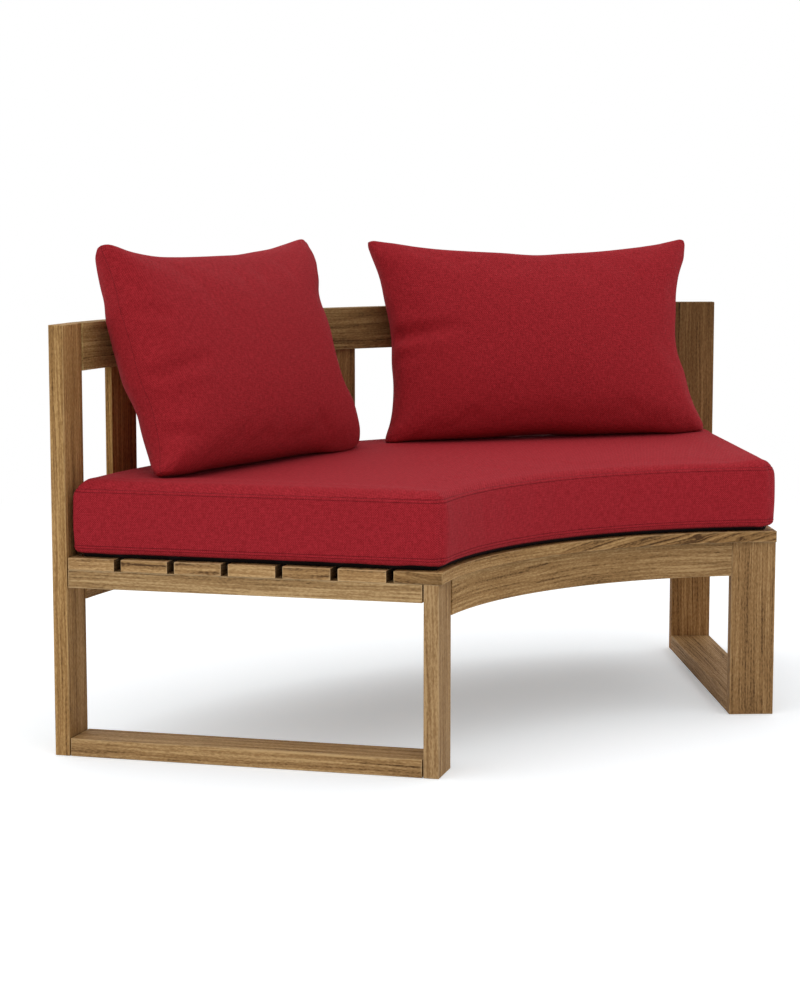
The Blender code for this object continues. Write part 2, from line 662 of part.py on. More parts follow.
def reach_at_rail(edges):
    """Largest radius of a pillow's edges at the height of the back rail."""
    reach = 0.0
    for first, last in edges:
        points = [first, last]
        for level in (BACK_RAIL_LOW, FRAME_HEIGHT):
            if (first.z - level) * (last.z - level) < 0:
                points.append(first.lerp(last, (level - first.z) / (last.z - first.z)))
        low, high = grown((BACK_RAIL_LOW, FRAME_HEIGHT), JOINT_GAP)
        beside = [point for point in points if low <= point.z <= high]
        reach = max([reach] + [point.xy.length for point in beside])
    return reach


def add_pillow(name, pillow, ring):
    """A pillow that leans back until it meets the back rail and stands on the seat cushion."""
    bm = pillow_shell(pillow)
    turn = Matrix.Rotation(pillow.twist - pillow.angle, 3, "Z") @ Matrix.Rotation(-pillow.lean, 3, "X")
    outwards = Vector((math.sin(pillow.angle), math.cos(pillow.angle), 0))
    points = [turn @ vert.co for vert in bm.verts]
    ends = [(turn @ edge.verts[0].co, turn @ edge.verts[1].co) for edge in bm.edges]
    place = outwards * CUSHION_BACK
    place.z = CUSHION_FLOOR + CUSHION_TOP + pillow.height / 2
    for _ in range(SEATING_PASSES):
        place.z -= min(place.z + point.z - seat_height(place + point) for point in points) - JOINT_GAP
        reach = reach_at_rail([(place + first, place + last) for first, last in ends])
        place -= outwards * (reach - REAR_FACE * FACET + JOINT_GAP)
    made = add_object(name, bm, PILLOW_CLOTH, "pillow_cloth", ring)
    made.location = place
    made.rotation_euler = turn.to_euler()
    made.data.shade_smooth()
    print(name, "stands at", [round(value, 4) for value in place])


def build():
    clear_scene()
    ring = add_empty("ring_centre", location=(0, RING_Y, 0))
    frames = {label: add_end_frame(side, label, ring) for side, label in ((-1, "left"), (1, "right"))}
    boards = add_curved_boards(ring)
    bearers = add_bearers(boards, ring)
    add_back_slats(boards, ring)
    carriers = {label + "_side_rail": pieces["side_rail"] for label, pieces in frames.items()}
    carriers.update({label + "_bearer": bearer for label, bearer in bearers.items()})
    add_seat_slats_and_screws(carriers, ring)
    add_seat_cushion(ring)
    left = Pillow(
        LEFT_PILLOW_WIDTH, LEFT_PILLOW_HEIGHT, LEFT_PILLOW_HALF_THICKNESS, LEFT_PILLOW_SIDE_DRAW,
        LEFT_PILLOW_TOP_DRAW, LEFT_PILLOW_FOOT_DRAW, LEFT_PILLOW_ANGLE, LEFT_PILLOW_TWIST, LEFT_PILLOW_LEAN)
    right = Pillow(
        RIGHT_PILLOW_WIDTH, RIGHT_PILLOW_HEIGHT, RIGHT_PILLOW_HALF_THICKNESS, RIGHT_PILLOW_SIDE_DRAW,
        RIGHT_PILLOW_TOP_DRAW, RIGHT_PILLOW_FOOT_DRAW, RIGHT_PILLOW_ANGLE, RIGHT_PILLOW_TWIST,
        RIGHT_PILLOW_LEAN)
    add_pillow("left_pillow", left, ring)
    add_pillow("right_pillow", right, ring)


build()
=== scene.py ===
# %% [markdown]
# # A curved garden bench in teak, with a seat cushion and two pillows
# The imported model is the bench's skeleton: every board, screw and cushion is already where it
# belongs, in metres. This lesson dresses that skeleton. Loading it first means that each new piece
# can be measured from the board or cushion that it stands for, instead of being placed by eye.

import itertools
import math

import bmesh
import bpy
import numpy as np
from mathutils import Matrix, Vector
from mathutils.bvhtree import BVHTree


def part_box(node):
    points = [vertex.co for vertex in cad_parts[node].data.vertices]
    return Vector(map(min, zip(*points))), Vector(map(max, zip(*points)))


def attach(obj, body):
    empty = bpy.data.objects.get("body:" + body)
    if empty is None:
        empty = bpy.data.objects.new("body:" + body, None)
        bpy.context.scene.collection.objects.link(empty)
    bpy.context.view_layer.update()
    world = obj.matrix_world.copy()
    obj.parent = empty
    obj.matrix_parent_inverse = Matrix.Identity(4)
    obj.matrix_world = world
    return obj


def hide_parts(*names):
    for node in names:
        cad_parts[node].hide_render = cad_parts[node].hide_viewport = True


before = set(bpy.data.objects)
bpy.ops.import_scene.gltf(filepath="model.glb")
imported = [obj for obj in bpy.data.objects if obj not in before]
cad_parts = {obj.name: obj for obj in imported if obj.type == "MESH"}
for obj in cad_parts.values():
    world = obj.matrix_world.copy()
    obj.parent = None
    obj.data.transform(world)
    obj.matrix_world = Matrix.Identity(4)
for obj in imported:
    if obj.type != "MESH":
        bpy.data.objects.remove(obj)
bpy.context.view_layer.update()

# %% [markdown]
# ## The camera and the light
# A product picture like this one is taken from a little above the seat, with a long lens that keeps
# the boards straight. The camera goes in first, so that every later piece can be looked at as it is
# made. The light is a plain white room under one very wide lamp overhead, a little to the left. It
# leaves one soft shadow on the floor, straight under the seat, and darkens whatever hangs over.

# %% Camera
CAMERA_PLACE = Vector((-2.65965, -3.100454, 0.86725))
CAMERA_AIM = Vector((0.62486, 0.77115, -0.12198))
LENS, SENSOR = 85.5, 36.0  # millimetres


def add_object(name, data):
    """Puts a new object in the scene."""
    made = bpy.data.objects.new(name, data)
    bpy.context.scene.collection.objects.link(made)
    return made


def aim(item, place, way):
    """Stands a camera or a lamp at a place, and turns it to look along the way."""
    item.location = place
    item.rotation_euler = way.to_track_quat("-Z", "Y").to_euler()


camera = add_object("camera", bpy.data.cameras.new("camera"))
camera.data.lens, camera.data.sensor_width = LENS, SENSOR
aim(camera, CAMERA_PLACE, CAMERA_AIM)
bpy.context.scene.camera = camera
bpy.context.scene.view_settings.view_transform = "Standard"
print("Camera looks along", [round(v, 3) for v in CAMERA_AIM])

# %% [markdown]
# ## Drawing with nodes
# Every finish below is a little network of nodes, each doing one sum or drawing one noise. Wired up
# by hand they hide what is meant, so a wire here answers to Python's own arithmetic: adding two of
# them adds the Math node between them.

# %% Shorthands for building node trees
def feed(tree, node, feeds):
    """Fills a node's inputs with plain values, wires, outputs, or the first outputs of nodes."""
    for key, value in feeds.items():
        if isinstance(value, bpy.types.Node):
            value = value.outputs[0]
        value = getattr(value, "socket", value)
        if isinstance(value, bpy.types.NodeSocket):
            tree.links.new(value, node.inputs[key])
        else:
            node.inputs[key].default_value = value


def add_node(tree, kind, feeds=None, **settings):
    """Adds a node, sets it up and fills its inputs."""
    made = tree.nodes.new("ShaderNode" + kind)
    for name, value in settings.items():
        setattr(made, name, value)
    feed(tree, made, feeds or {})
    return made


class Wire:
    """What flows out of a node: a number, a vector or a colour."""

    def __init__(self, socket):
        self.socket, self.tree = socket, socket.id_data

    def math(self, operation, *others):
        """A Math node for numbers, a Vector Math node for the rest."""
        kind = "Math" if self.socket.type == "VALUE" else "VectorMath"
        made = add_node(self.tree, kind, dict(enumerate((self, *others))), operation=operation)
        return Wire(made.outputs["Value" if operation == "LENGTH" else 0])

    def __add__(self, other):
        return self.math("ADD", other)

    def __sub__(self, other):
        return self.math("SUBTRACT", other)

    def __mul__(self, other):
        return self.math("MULTIPLY", other)

    def __truediv__(self, other):
        return self.math("DIVIDE", other)

    def parts(self):
        """The three numbers of a vector."""
        return [Wire(part) for part in add_node(self.tree, "SeparateXYZ", {0: self}).outputs]

    def noise(self, stretch, detail=2.0, out=0):
        """Soft noise, about 0 to 1, with stretch waves to the metre along each axis."""
        feeds = {"Vector": self * stretch, "Scale": 1.0, "Detail": detail}
        return Wire(add_node(self.tree, "TexNoise", feeds).outputs[out])

    def eased(self, low, high, first=0.0, last=1.0):
        """Smooth step from first to last as the value goes from low to high."""
        return Wire(add_node(self.tree, "MapRange", {
            "Value": self, "From Min": low, "From Max": high, "To Min": first, "To Max": last},
            interpolation_type="SMOOTHSTEP").outputs[0])

    def mix(self, first, second):
        """A colour between two others, as far along as this share says."""
        feeds = {0: self, 6: first, 7: second}
        return Wire(add_node(self.tree, "Mix", feeds, data_type="RGBA").outputs[2])


def joined(tree, *numbers):
    """A vector from three numbers."""
    return Wire(add_node(tree, "CombineXYZ", dict(enumerate(numbers))).outputs[0])


def new_group(name, inputs, outputs):
    """A shader group, the wires that it is given by name, and its end node."""
    tree = bpy.data.node_groups.new(name, "ShaderNodeTree")
    for kind, sockets in (("INPUT", inputs), ("OUTPUT", outputs)):
        for label, socket in sockets:
            tree.interface.new_socket(label, in_out=kind, socket_type="NodeSocket" + socket)
    start = tree.nodes.new("NodeGroupInput").outputs
    given = {label: Wire(start[label]) for label, _ in inputs}
    return tree, given, tree.nodes.new("NodeGroupOutput")


def new_material(name):
    """An empty material and its node tree."""
    made = bpy.data.materials.new(name)
    made.use_nodes = True
    made.node_tree.nodes.clear()
    return made, made.node_tree


def end_material(tree, height, relief, feeds):
    """Ends a material in a shader over a bump, whose relief is its strength and its distance."""
    bump = add_node(tree, "Bump", {"Height": height, "Strength": relief[0], "Distance": relief[1]})
    shader = add_node(tree, "BsdfPrincipled", {"Normal": bump, **feeds})
    add_node(tree, "OutputMaterial", {"Surface": shader})

# %% [markdown]
# The room is white. Seen by the camera, or in a reflection, it has a strength of one and shows as
# white paper. For the light that it throws on the bench it is dimmer, as the lamp adds the rest.

# %% Light
ROOM_LIGHT = 0.54
LAMP_LIGHT = 0.475  # light on a level surface that faces the lamp
LAMP_SPREAD = math.radians(105.0)
LAMP_PLACE = Vector((-0.55, -0.10, 2.6))
WHITE = (1.0, 1.0, 1.0, 1.0)


def looked_at(tree):
    """One for what the camera sees, also in a reflection or through glass, and else nought."""
    rays = add_node(tree, "LightPath").outputs
    seen = Wire(rays["Is Camera Ray"]).math("MAXIMUM", rays["Is Glossy Ray"])
    return seen.math("MAXIMUM", rays["Is Transmission Ray"])


world = bpy.data.worlds.new("white_room")
world.use_nodes = True
room = world.node_tree
room.nodes.clear()
thrown, shown = (add_node(room, "Background", {"Color": WHITE, "Strength": strength})
                 for strength in (ROOM_LIGHT, 1.0))
either = add_node(room, "MixShader", {0: looked_at(room), 1: thrown, 2: shown})
add_node(room, "OutputWorld", {"Surface": either})
bpy.context.scene.world = world

lamp = add_object("wide_lamp", bpy.data.lights.new("wide_lamp", "SUN"))
lamp.data.energy, lamp.data.angle = LAMP_LIGHT * math.pi, LAMP_SPREAD
aim(lamp, LAMP_PLACE, -LAMP_PLACE)
print("Light on the seat:", ROOM_LIGHT + LAMP_LIGHT)

# %% [markdown]
# The floor is one large pale sheet. It catches the shadow but isn't part of the bench.

# %% Floor
FLOOR_SIDE = 40.0
FLOOR_DROP = 0.0004
FLOOR_COLOUR = (0.93, 0.93, 0.93, 1.0)
FLOOR_GLOW = 0.29
GLOW_COLOUR = (0.81, 0.92, 1.0, 1.0)  # makes up for the red light that the cushions throw down
FADE = (1.2, 3.2)  # distances between which the floor goes over into the white of the room

floor_finish, tree = new_material("pale_floor")
seen = looked_at(tree)
from_bench = Wire(add_node(tree, "TexCoord").outputs["Object"]).math("LENGTH")
lit = add_node(tree, "AddShader", {
    0: add_node(tree, "BsdfDiffuse", {"Color": FLOOR_COLOUR}),
    1: add_node(tree, "Emission", {"Color": GLOW_COLOUR, "Strength": seen * FLOOR_GLOW})})
blank = add_node(tree, "Emission", {"Color": WHITE, "Strength": 1.0})
add_node(tree, "OutputMaterial", {"Surface": add_node(
    tree, "MixShader", {0: from_bench.eased(*FADE) * seen, 1: lit, 2: blank})})


def add_mesh(name, bm):
    """Turns a bmesh into an object."""
    mesh = bpy.data.meshes.new(name)
    bm.to_mesh(mesh)
    bm.free()
    return add_object(name, mesh)


sheet = bmesh.new()
bmesh.ops.create_grid(
    sheet, x_segments=1, y_segments=1, size=FLOOR_SIDE / 2,
    matrix=Matrix.Translation((0, 0, -FLOOR_DROP)))
floor = add_mesh("floor", sheet)
floor.data.materials.append(floor_finish)
print("Floor is", FLOOR_SIDE, "m wide")

# %% [markdown]
# ## Finding the boards
# The bench is a fifth of a ring. Its long boards follow circles round a point in front of the seat,
# and its two end frames point at that same point. So a board is easiest to measure in a frame that
# is turned with it: along the radius, across it, and up.

# %% Ring and turned frames
HALF_SECTOR = math.radians(36.0)
RING = Vector((0.0, -0.894294, 0.0))
BEARER_ANGLE = math.radians(12.0)
TOUCH = 0.0001  # two points closer than this are at the same place


def end_turn(side, angle=HALF_SECTOR):
    """Turn about Z that points +X out along the radius, angle away from the middle of the bench."""
    return math.pi / 2 - side * angle


def node_points(name):
    """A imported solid's vertices, from the centre of the ring."""
    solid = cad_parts[name]
    return [solid.matrix_world @ vert.co - RING for vert in solid.data.vertices]


def spans(points):
    """Lowest and highest value of the points on each axis."""
    return [(min(p[axis] for p in points), max(p[axis] for p in points)) for axis in range(3)]


def board_spans(name, turn):
    """A straight board from shoulder to shoulder in its turned frame, without its tenons."""
    back = Matrix.Rotation(-turn, 3, "Z")
    points = [back @ point for point in node_points(name)]
    whole = spans(points)
    under = [point for point in points if point.z < whole[2][0] + TOUCH]
    return [spans(under)[0], whole[1], whole[2]]


example = board_spans("left_side_rail", end_turn(-1))
print("Left side rail, radius, across and up:", [[round(v, 4) for v in span] for span in example])

# %% [markdown]
# ## Straight boards
# Posts, legs, rails, bearers and back slats are planks with worn, rounded edges. A cube stretched
# to the plank's size and bevelled with a few segments gives exactly that. Each plank also keeps
# four notes on its vertices: where the point lies in the plank, how large the plank is, a number of
# its own, and how dark or pale it is drawn from one end to the other. That note is partly the
# timber's own tone and partly painted shade: the back rail, the back slats and the top of the right
# rear post are drawn darker where the pillows shade them. The grain and the wear are drawn from
# these notes, so the grain runs along every plank and no two look alike.

# %% Making one straight board
EDGE_ROUND = 0.0010
EDGE_SEGMENTS, END_SEGMENTS = 3, 2
FREE_END, SHOULDER_END = 0.0005, 0.0003  # rounding of an open end, and of one against a board
ALONG_RADIUS, UPRIGHT = 0, 2  # the axis that the grain follows
FACE_WEIGHT = 80  # keeps the wide faces flat beside their rounded edges
BOARD_TONE_AND_PAINTED_SHADE = {  # share of the teak's colour at both ends of a board, or at its first and its last
    "left_rear_post": ((1.00, 0.95, 0.82),), "left_front_leg": ((0.92, 0.92, 0.95),),
    "left_bottom_rail": ((1.08, 1.10, 1.11),), "left_side_rail": ((1.04, 1.09, 1.15),),
    # painted shade: the right rear post darkens towards its top, the back rail towards its far end
    # and the back slats throughout, where the pillows shade them
    "right_rear_post": ((1.04, 0.92, 0.80), (0.42, 0.36, 0.27)),
    "right_front_leg": ((0.91, 0.89, 0.88),),
    "front_apron": ((1.03, 1.02, 0.95), (0.86, 0.86, 0.86)),
    "back_rail": ((0.97, 1.05, 0.94), (0.38, 0.35, 0.30)),
    "back_slat_1": ((0.93, 0.86, 0.60),), "back_slat": ((0.72, 0.68, 0.58),),
    "seat_slat_1": ((0.93, 0.90, 0.83),), "seat_slat": ((1.15, 1.16, 1.18),)}
PLAIN = ((1.0, 1.0, 1.0),)
board_seeds = itertools.count(0.37, 0.83)


def write_notes(piece, notes):
    """Keeps a number or a vector for each vertex of a piece under the name of each note."""
    for key, values in notes.items():
        values = np.array(values, dtype=np.float32)
        kind, field = ("FLOAT_VECTOR", "vector") if values.ndim > 1 else ("FLOAT", "value")
        piece.data.attributes.new(key, kind, "POINT").data.foreach_set(field, values.ravel())


def add_piece(name, bm, body, finish):
    """Turns a bmesh into a smooth piece at the origin, riding on its body."""
    made = add_mesh(name, bm)
    made.data.shade_smooth()
    made.data.materials.append(finish)
    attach(made, body)
    return made


def fit_board(piece, name, places, half, **more):
    """Writes a board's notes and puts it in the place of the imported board."""
    tone_and_shade_ends = BOARD_TONE_AND_PAINTED_SHADE.get(name) or BOARD_TONE_AND_PAINTED_SHADE.get(name.rstrip("_1234567"), PLAIN)
    first, last = np.array(tone_and_shade_ends[0]), np.array(tone_and_shade_ends[-1])
    shares = [min(max((place[0] / half[0] + 1) / 2, 0.0), 1.0) for place in places]
    write_notes(piece, {
        "board": places, "half": [half] * len(places), "seed": [next(board_seeds)] * len(places),
        "tone_and_painted_shade": [first + (last - first) * share for share in shares], **more})
    piece.modifiers.new("even_normals", "WEIGHTED_NORMAL").weight = FACE_WEIGHT
    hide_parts(name)
    return piece


def round_edges(bm, geometry, radius, segments=EDGE_SEGMENTS, kind="EDGES"):
    """Rounds a solid's edges, or the corners of a flat section."""
    bmesh.ops.bevel(
        bm, geom=geometry, offset=radius, offset_type="OFFSET", affect=kind, segments=segments,
        profile=0.5, clamp_overlap=True, material=-1)


def plank(bm, ranges, axis, edge_round, end_round):
    """A block between (low, high) pairs, its edges along the axis rounder than its ends."""
    centre = Vector([sum(span) / 2 for span in ranges])
    half = [(high - low) / 2 for low, high in ranges]
    matrix = Matrix.Translation(centre) @ Matrix.Diagonal((*half, 1.0))
    bmesh.ops.create_cube(bm, size=2.0, matrix=matrix)

    def rise(edge):
        return abs(edge.verts[1].co[axis] - edge.verts[0].co[axis])

    round_edges(bm, [edge for edge in bm.edges if rise(edge) > TOUCH], edge_round)
    rims = [edge for edge in bm.edges if rise(edge) < TOUCH
            and abs(edge.verts[0].co[axis] - centre[axis]) > half[axis] - TOUCH]
    round_edges(bm, rims, end_round, END_SEGMENTS)
    return centre, half


print("Edges rounded by", EDGE_ROUND * 1000, "mm")

# %% [markdown]
# ## Teak
# Teak is a warm brown wood with narrow growth rings, long darker streaks and fine open pores. Its
# rings are shells round the heart of the log, so a plank shows straight lines where it was cut
# along them and tall arches where it was cut across. The group below draws rings round a heart line
# that wanders a little, then adds streaks and fibres that are stretched a hundred times along the
# grain. It is a group because every board uses it.

# %% Grain group
RING_SPACING = 0.0042
LATE_START, LATE_END = (0.30, 0.85), (0.88, 1.0)  # where a ring's dark part begins and ends
GRAIN_LEAN = 0.016  # drift of the rings across the board for each metre along it
KNOT_SQUEEZE = (0.42, 0.0, 1.0)  # a knot's eye is longer along the board, and runs through it
EYE_FADE = (0.3, 1.0)  # shares of a knot's size between which its dark eye fades out
CLIMBED = 0.02  # metres of climb towards the knots at which the figure is full
LOG_STEP = (7.31, 0.0, 0.0)  # each board is sawn from another length of the log
BEND_WAVES, BEND_REACH = (2.0, 6.0, 6.0), (0.0, 0.020, 0.020)  # how the heart line wanders
HEART_STEP, HEART_REACH = (0.0, 3.7, 5.3), (0.0, 0.05, 0.04)  # how it differs between boards
FIGURE = {  # waves to the metre along and across, detail, where it starts and is full, weight
    "streak": (1.6, 150.0, 3.0, 0.28, 0.72, 0.30), "fibre": (6.0, 330.0, 2.0, 0.25, 0.75, 0.34),
    "fleck": (170.0, 450.0, 1.0, 0.25, 0.75, 0.28), "tone": (1.2, 26.0, 2.0, 0.25, 0.75, 0.32),
    "pores": (40.0, 900.0, 1.0, 0.58, 0.68, -0.16),
    "cracks": (2.2, 230.0, 1.0, 0.69, 0.77, -0.22)}
DARK_STREAK = (0.36, 0.50)  # values of the streaks' noise between which their dark fades out
PLAIN_TONE, LATE_TONE, EYE_TONE = -0.03, -0.15, -0.14  # how much paler each makes the wood
FIGURED_LATE, FIGURED_STREAK = -0.20, -0.18  # the same, where the rings climb to the knots
MIDDLE_AT, LIGHT_FROM, LIGHT_AT = 0.50, 0.45, 0.95  # where the colour is middle, and gets light
DARK_ROUGH, PALE_ROUGH = 0.78, 0.58
LATE_RELIEF, FIBRE_RELIEF, CRACK_RELIEF, PORE_RELIEF = 0.30, 0.55, -0.9, -0.5

grain, given, grain_end = new_group(
    "Teak grain",
    [("Board", "Vector"), ("Seed", "Float"), ("Heart", "Vector"), ("Layers", "Float"),
     ("Knot A", "Vector"), ("Knot B", "Vector"), ("Knot Size", "Float"),
     ("Climb", "Float"), ("Climb From", "Float"),
     ("Light", "Color"), ("Middle", "Color"), ("Dark", "Color")],
    [("Color", "Color"), ("Roughness", "Float"), ("Height", "Float")])
along, across, up = given["Board"].parts()
lift = (along - given["Climb From"]).math("MAXIMUM", 0.0) * given["Climb"]
figured = lift.eased(0.0, CLIMBED)
knot_area = given["Knot Size"].math("POWER", 2.0)
eyes = []
for knot in ("Knot A", "Knot B"):
    away = (given["Board"] - given[knot]) * KNOT_SQUEEZE
    distance = away.math("LENGTH")
    lift = away.parts()[2] * (knot_area / (distance * distance + knot_area)) + lift
    eyes.append((distance / given["Knot Size"]).eased(*EYE_FADE, 1.0, 0.0))
seeds = joined(grain, *[given["Seed"]] * 3)
log = seeds * LOG_STEP + joined(grain, along, across, up - lift)
bend = log.noise(BEND_WAVES, out=1) - (0.5, 0.5, 0.5)
wandering = bend * BEND_REACH + log
heart = (seeds * HEART_STEP).math("FRACTION") * HEART_REACH + given["Heart"]
along, across, up = (wandering - heart).parts()
radius = (across * across + up * up).math("SQRT") + along * GRAIN_LEAN
year = (radius / RING_SPACING).math("FRACT")
late_wood = year.eased(*LATE_START) * year.eased(*LATE_END, 1.0, 0.0)
layered = wandering * joined(grain, 1.0, given["Layers"], 1.0)
noise, share = {}, {}
for key, (length, width, detail, low, high, _) in FIGURE.items():
    noise[key] = (log if key == "tone" else layered).noise((length, width, width), detail)
    share[key] = noise[key].eased(low, high)
dark_streaks = noise["streak"].eased(*DARK_STREAK, 1.0, 0.0)
pale = late_wood * LATE_TONE + (eyes[0] + eyes[1]) * EYE_TONE + PLAIN_TONE
pale = pale + figured * (late_wood * FIGURED_LATE + dark_streaks * FIGURED_STREAK)
pale = sum((share[key] * row[-1] for key, row in FIGURE.items()), pale)
colour = pale.eased(0.0, MIDDLE_AT).mix(given["Dark"], given["Middle"])
relief = late_wood * LATE_RELIEF + noise["fibre"] * FIBRE_RELIEF
feed(grain, grain_end, {
    "Color": pale.eased(LIGHT_FROM, LIGHT_AT).mix(colour, given["Light"]),
    "Roughness": pale.eased(0.0, 1.0, DARK_ROUGH, PALE_ROUGH),
    "Height": relief + share["cracks"] * CRACK_RELIEF + share["pores"] * PORE_RELIEF})
print("Grain group has", len(grain.nodes), "nodes")

# %% [markdown]
# Hands, cloth and weather polish the edges of outdoor wood paler than its faces. The distance to
# the nearest edge is the middle one of a point's three distances to the board's faces, so the
# second group finds the edges without any painted mask.

# %% Edge wear group
WEAR_WAVES = (28.0, 60.0, 60.0)  # patches to the metre in which an edge is worn more
WEAR_NOISE = (0.30, 0.70)  # values of the noise where the wear is narrowest and widest
WEAR_RANGE = (0.25, 1.5)  # its width there, as shares
WEAR_FADE = (0.15, 1.0)  # shares of its width between which it fades out

wear, given, wear_end = new_group(
    "Edge wear", [("Board", "Vector"), ("Half", "Vector"), ("Width", "Float")],
    [("Mask", "Float")])
first, second, third = (given["Half"] - given["Board"].math("ABSOLUTE")).parts()
nearer, farther = (first.math(kind, second) for kind in ("MINIMUM", "MAXIMUM"))
to_edge = nearer.math("MAXIMUM", farther.math("MINIMUM", third))
patches = given["Board"].noise(WEAR_WAVES, 3.0)
width = given["Width"] * patches.eased(*WEAR_NOISE, *WEAR_RANGE)
feed(wear, wear_end, {"Mask": (to_edge / width).eased(*WEAR_FADE, 1.0, 0.0)})
print("Edge wear group has", len(wear.nodes), "nodes")

# %% Teak finishes
TEAK_LIGHT = (0.530, 0.336, 0.150, 1.0)
TEAK_MIDDLE = (0.325, 0.183, 0.070, 1.0)
TEAK_DARK = (0.085, 0.040, 0.014, 1.0)
TEAK_WORN = (0.560, 0.380, 0.195, 1.0)
WEAR_WIDTH, WEAR_SHARE = 0.0026, 0.5
TEAK_RELIEF = (0.55, 0.0007)
END_GRAIN = 0.0007  # how far the pattern of an end face reaches in from it
# painted shade: wood in the gaps between the slats and in the groove under the front slat is drawn
# darker
GAP_PAINTED_SHADE = (0.30, 0.27, 0.24)  # share of its colour that wood keeps in the gaps between the slats
HEART_BESIDE = (0.0, 0.048, 0.021)  # the log's heart lies close to the board: slanting rings
HEART_BELOW = (0.0, 0.010, -0.170)  # it lies far below: level rings
FLAT_LAYERS = 0.2  # the fibres lie flat in the slats
KNOTS = {"Knot A": (0.275, 0.0, 0.002), "Knot B": (0.352, 0.0, -0.003), "Knot Size": 0.0055,
         "Climb": 0.20, "Climb From": -0.02}
FAR = 9.0  # metres, where no board reaches
NO_KNOTS = {"Knot A": (FAR, 0.0, FAR), "Knot B": (FAR, 0.0, FAR), "Knot Size": 0.001,
            "Climb": 0.0, "Climb From": FAR}


def note(tree, key, out="Fac"):
    """The wire of a note that a piece keeps on its vertices."""
    return Wire(add_node(tree, "Attribute", attribute_name=key).outputs[out])


def turned_ends(tree, board, half):
    """Coordinates whose grain turns level on a board's two end faces, as on a planed end."""
    x, y, z = board.parts()
    at_end = x.math("ABSOLUTE").math("GREATER_THAN", half.parts()[0] - END_GRAIN)
    feeds = {0: at_end, 4: board, 5: joined(tree, y, x, z)}
    return Wire(add_node(tree, "Mix", feeds, data_type="VECTOR").outputs[1])


def teak_finish(name, heart, layers=1.0, knots=NO_KNOTS):
    """Teak whose log had its heart at a place. Layers under one lay the fibres flat."""
    made, tree = new_material(name)
    board, half, tone_and_painted_shade = (note(tree, key, "Vector") for key in ("board", "half", "tone_and_painted_shade"))
    wood = add_node(tree, "Group", {
        "Board": turned_ends(tree, board, half) if layers < 1 else board,
        "Seed": note(tree, "seed"), "Heart": heart, "Layers": layers,
        "Light": TEAK_LIGHT, "Middle": TEAK_MIDDLE, "Dark": TEAK_DARK, **knots},
        node_tree=grain).outputs
    worn = add_node(
        tree, "Group", {"Board": board, "Half": half, "Width": WEAR_WIDTH}, node_tree=wear)
    worn_share = Wire(worn.outputs["Mask"]) * WEAR_SHARE
    # the colour is multiplied by the tone note: the board's own tone, and painted shade where the
    # pillows shade it
    colour = worn_share.mix(wood["Color"], TEAK_WORN) * tone_and_painted_shade
    end_material(tree, wood["Height"], TEAK_RELIEF, {
        # painted shade in the gaps between the slats and in the groove under the front slat
        "Base Color": note(tree, "gap").mix(colour, colour * GAP_PAINTED_SHADE),
        "Roughness": wood["Roughness"], "Specular IOR Level": 0.18})
    return made


teak = teak_finish("teak", HEART_BESIDE)
teak_slat = teak_finish("teak_slat", HEART_BELOW, FLAT_LAYERS)
teak_knotty = teak_finish("teak_knotty", HEART_BELOW, FLAT_LAYERS, KNOTS)
print("Teak finish has", len(teak.node_tree.nodes), "nodes")

# %% [markdown]
# ## The end frames, bearers and back slats
# Each end of the bench is a closed loop of four boards: a leg, a post, a rail on the ground and a
# rail under the seat. Two bearers carry the slats between them, and seven thin slats stand in the
# back. All are planks, so one loop over a short table makes them. The rails and bearers also have
# the deep holes, bored from below, that the seat's screws sit in, and a Boolean cuts these.

# %% Straight boards
SCREW_ROOM = 0.0003
SCREW_HEAD = 0.003  # height of a screw's head
BORE_SIDES = 24
SLATS = 7  # in the seat, and as many in the back
screws = [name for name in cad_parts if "screw" in name]


def cut_bores(piece, name, turn, underside):
    """Cuts the screws' counterbores out of a board."""
    back = Matrix.Rotation(-turn, 3, "Z")
    ranges = spans([back @ point for point in node_points(name)])[:2]
    bores = bmesh.new()
    for screw in screws:
        low, high = (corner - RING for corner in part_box(screw))
        centre = (low + high) / 2
        if all(span[0] < value < span[1] for span, value in zip(ranges, back @ centre)):
            head = (high.x - low.x) / 2 + SCREW_ROOM
            bmesh.ops.create_cone(
                bores, cap_ends=True, cap_tris=False, segments=BORE_SIDES, radius1=head,
                radius2=head, depth=2 * (low.z + SCREW_HEAD - underside),
                matrix=Matrix.Translation(RING + Vector((centre.x, centre.y, underside))))
    cutter = add_mesh("bores", bores)
    boolean = piece.modifiers.new("bores", "BOOLEAN")
    boolean.operation, boolean.solver, boolean.object = "DIFFERENCE", "EXACT", cutter
    shape = piece.evaluated_get(bpy.context.evaluated_depsgraph_get())
    piece.data = bpy.data.meshes.new_from_object(shape)
    piece.modifiers.clear()
    bpy.data.objects.remove(cutter, do_unlink=True)


def add_straight_board(name, turn, grain_axis, bored=False):
    """A rounded plank in the place of a packed board."""
    ranges = board_spans(name, turn)
    bm = bmesh.new()
    edge_round = SHOULDER_END if "side_rail" in name else EDGE_ROUND  # slats lie flush on it
    end_round = FREE_END if grain_axis == UPRIGHT else SHOULDER_END
    centre, half = plank(bm, ranges, grain_axis, edge_round, end_round)
    place = Matrix.Translation(RING) @ Matrix.Rotation(turn, 4, "Z")
    bmesh.ops.transform(bm, matrix=place, verts=bm.verts[:])
    piece = add_piece(name + "_board", bm, "frame", teak)
    if bored:
        cut_bores(piece, name, turn, ranges[2][0])
    order = (0, 1, 2) if grain_axis == ALONG_RADIUS else (2, 1, 0)
    local = [place.inverted() @ vert.co - centre for vert in piece.data.vertices]
    places = [[point[axis] for axis in order] for point in local]
    return fit_board(piece, name, places, [half[axis] for axis in order])


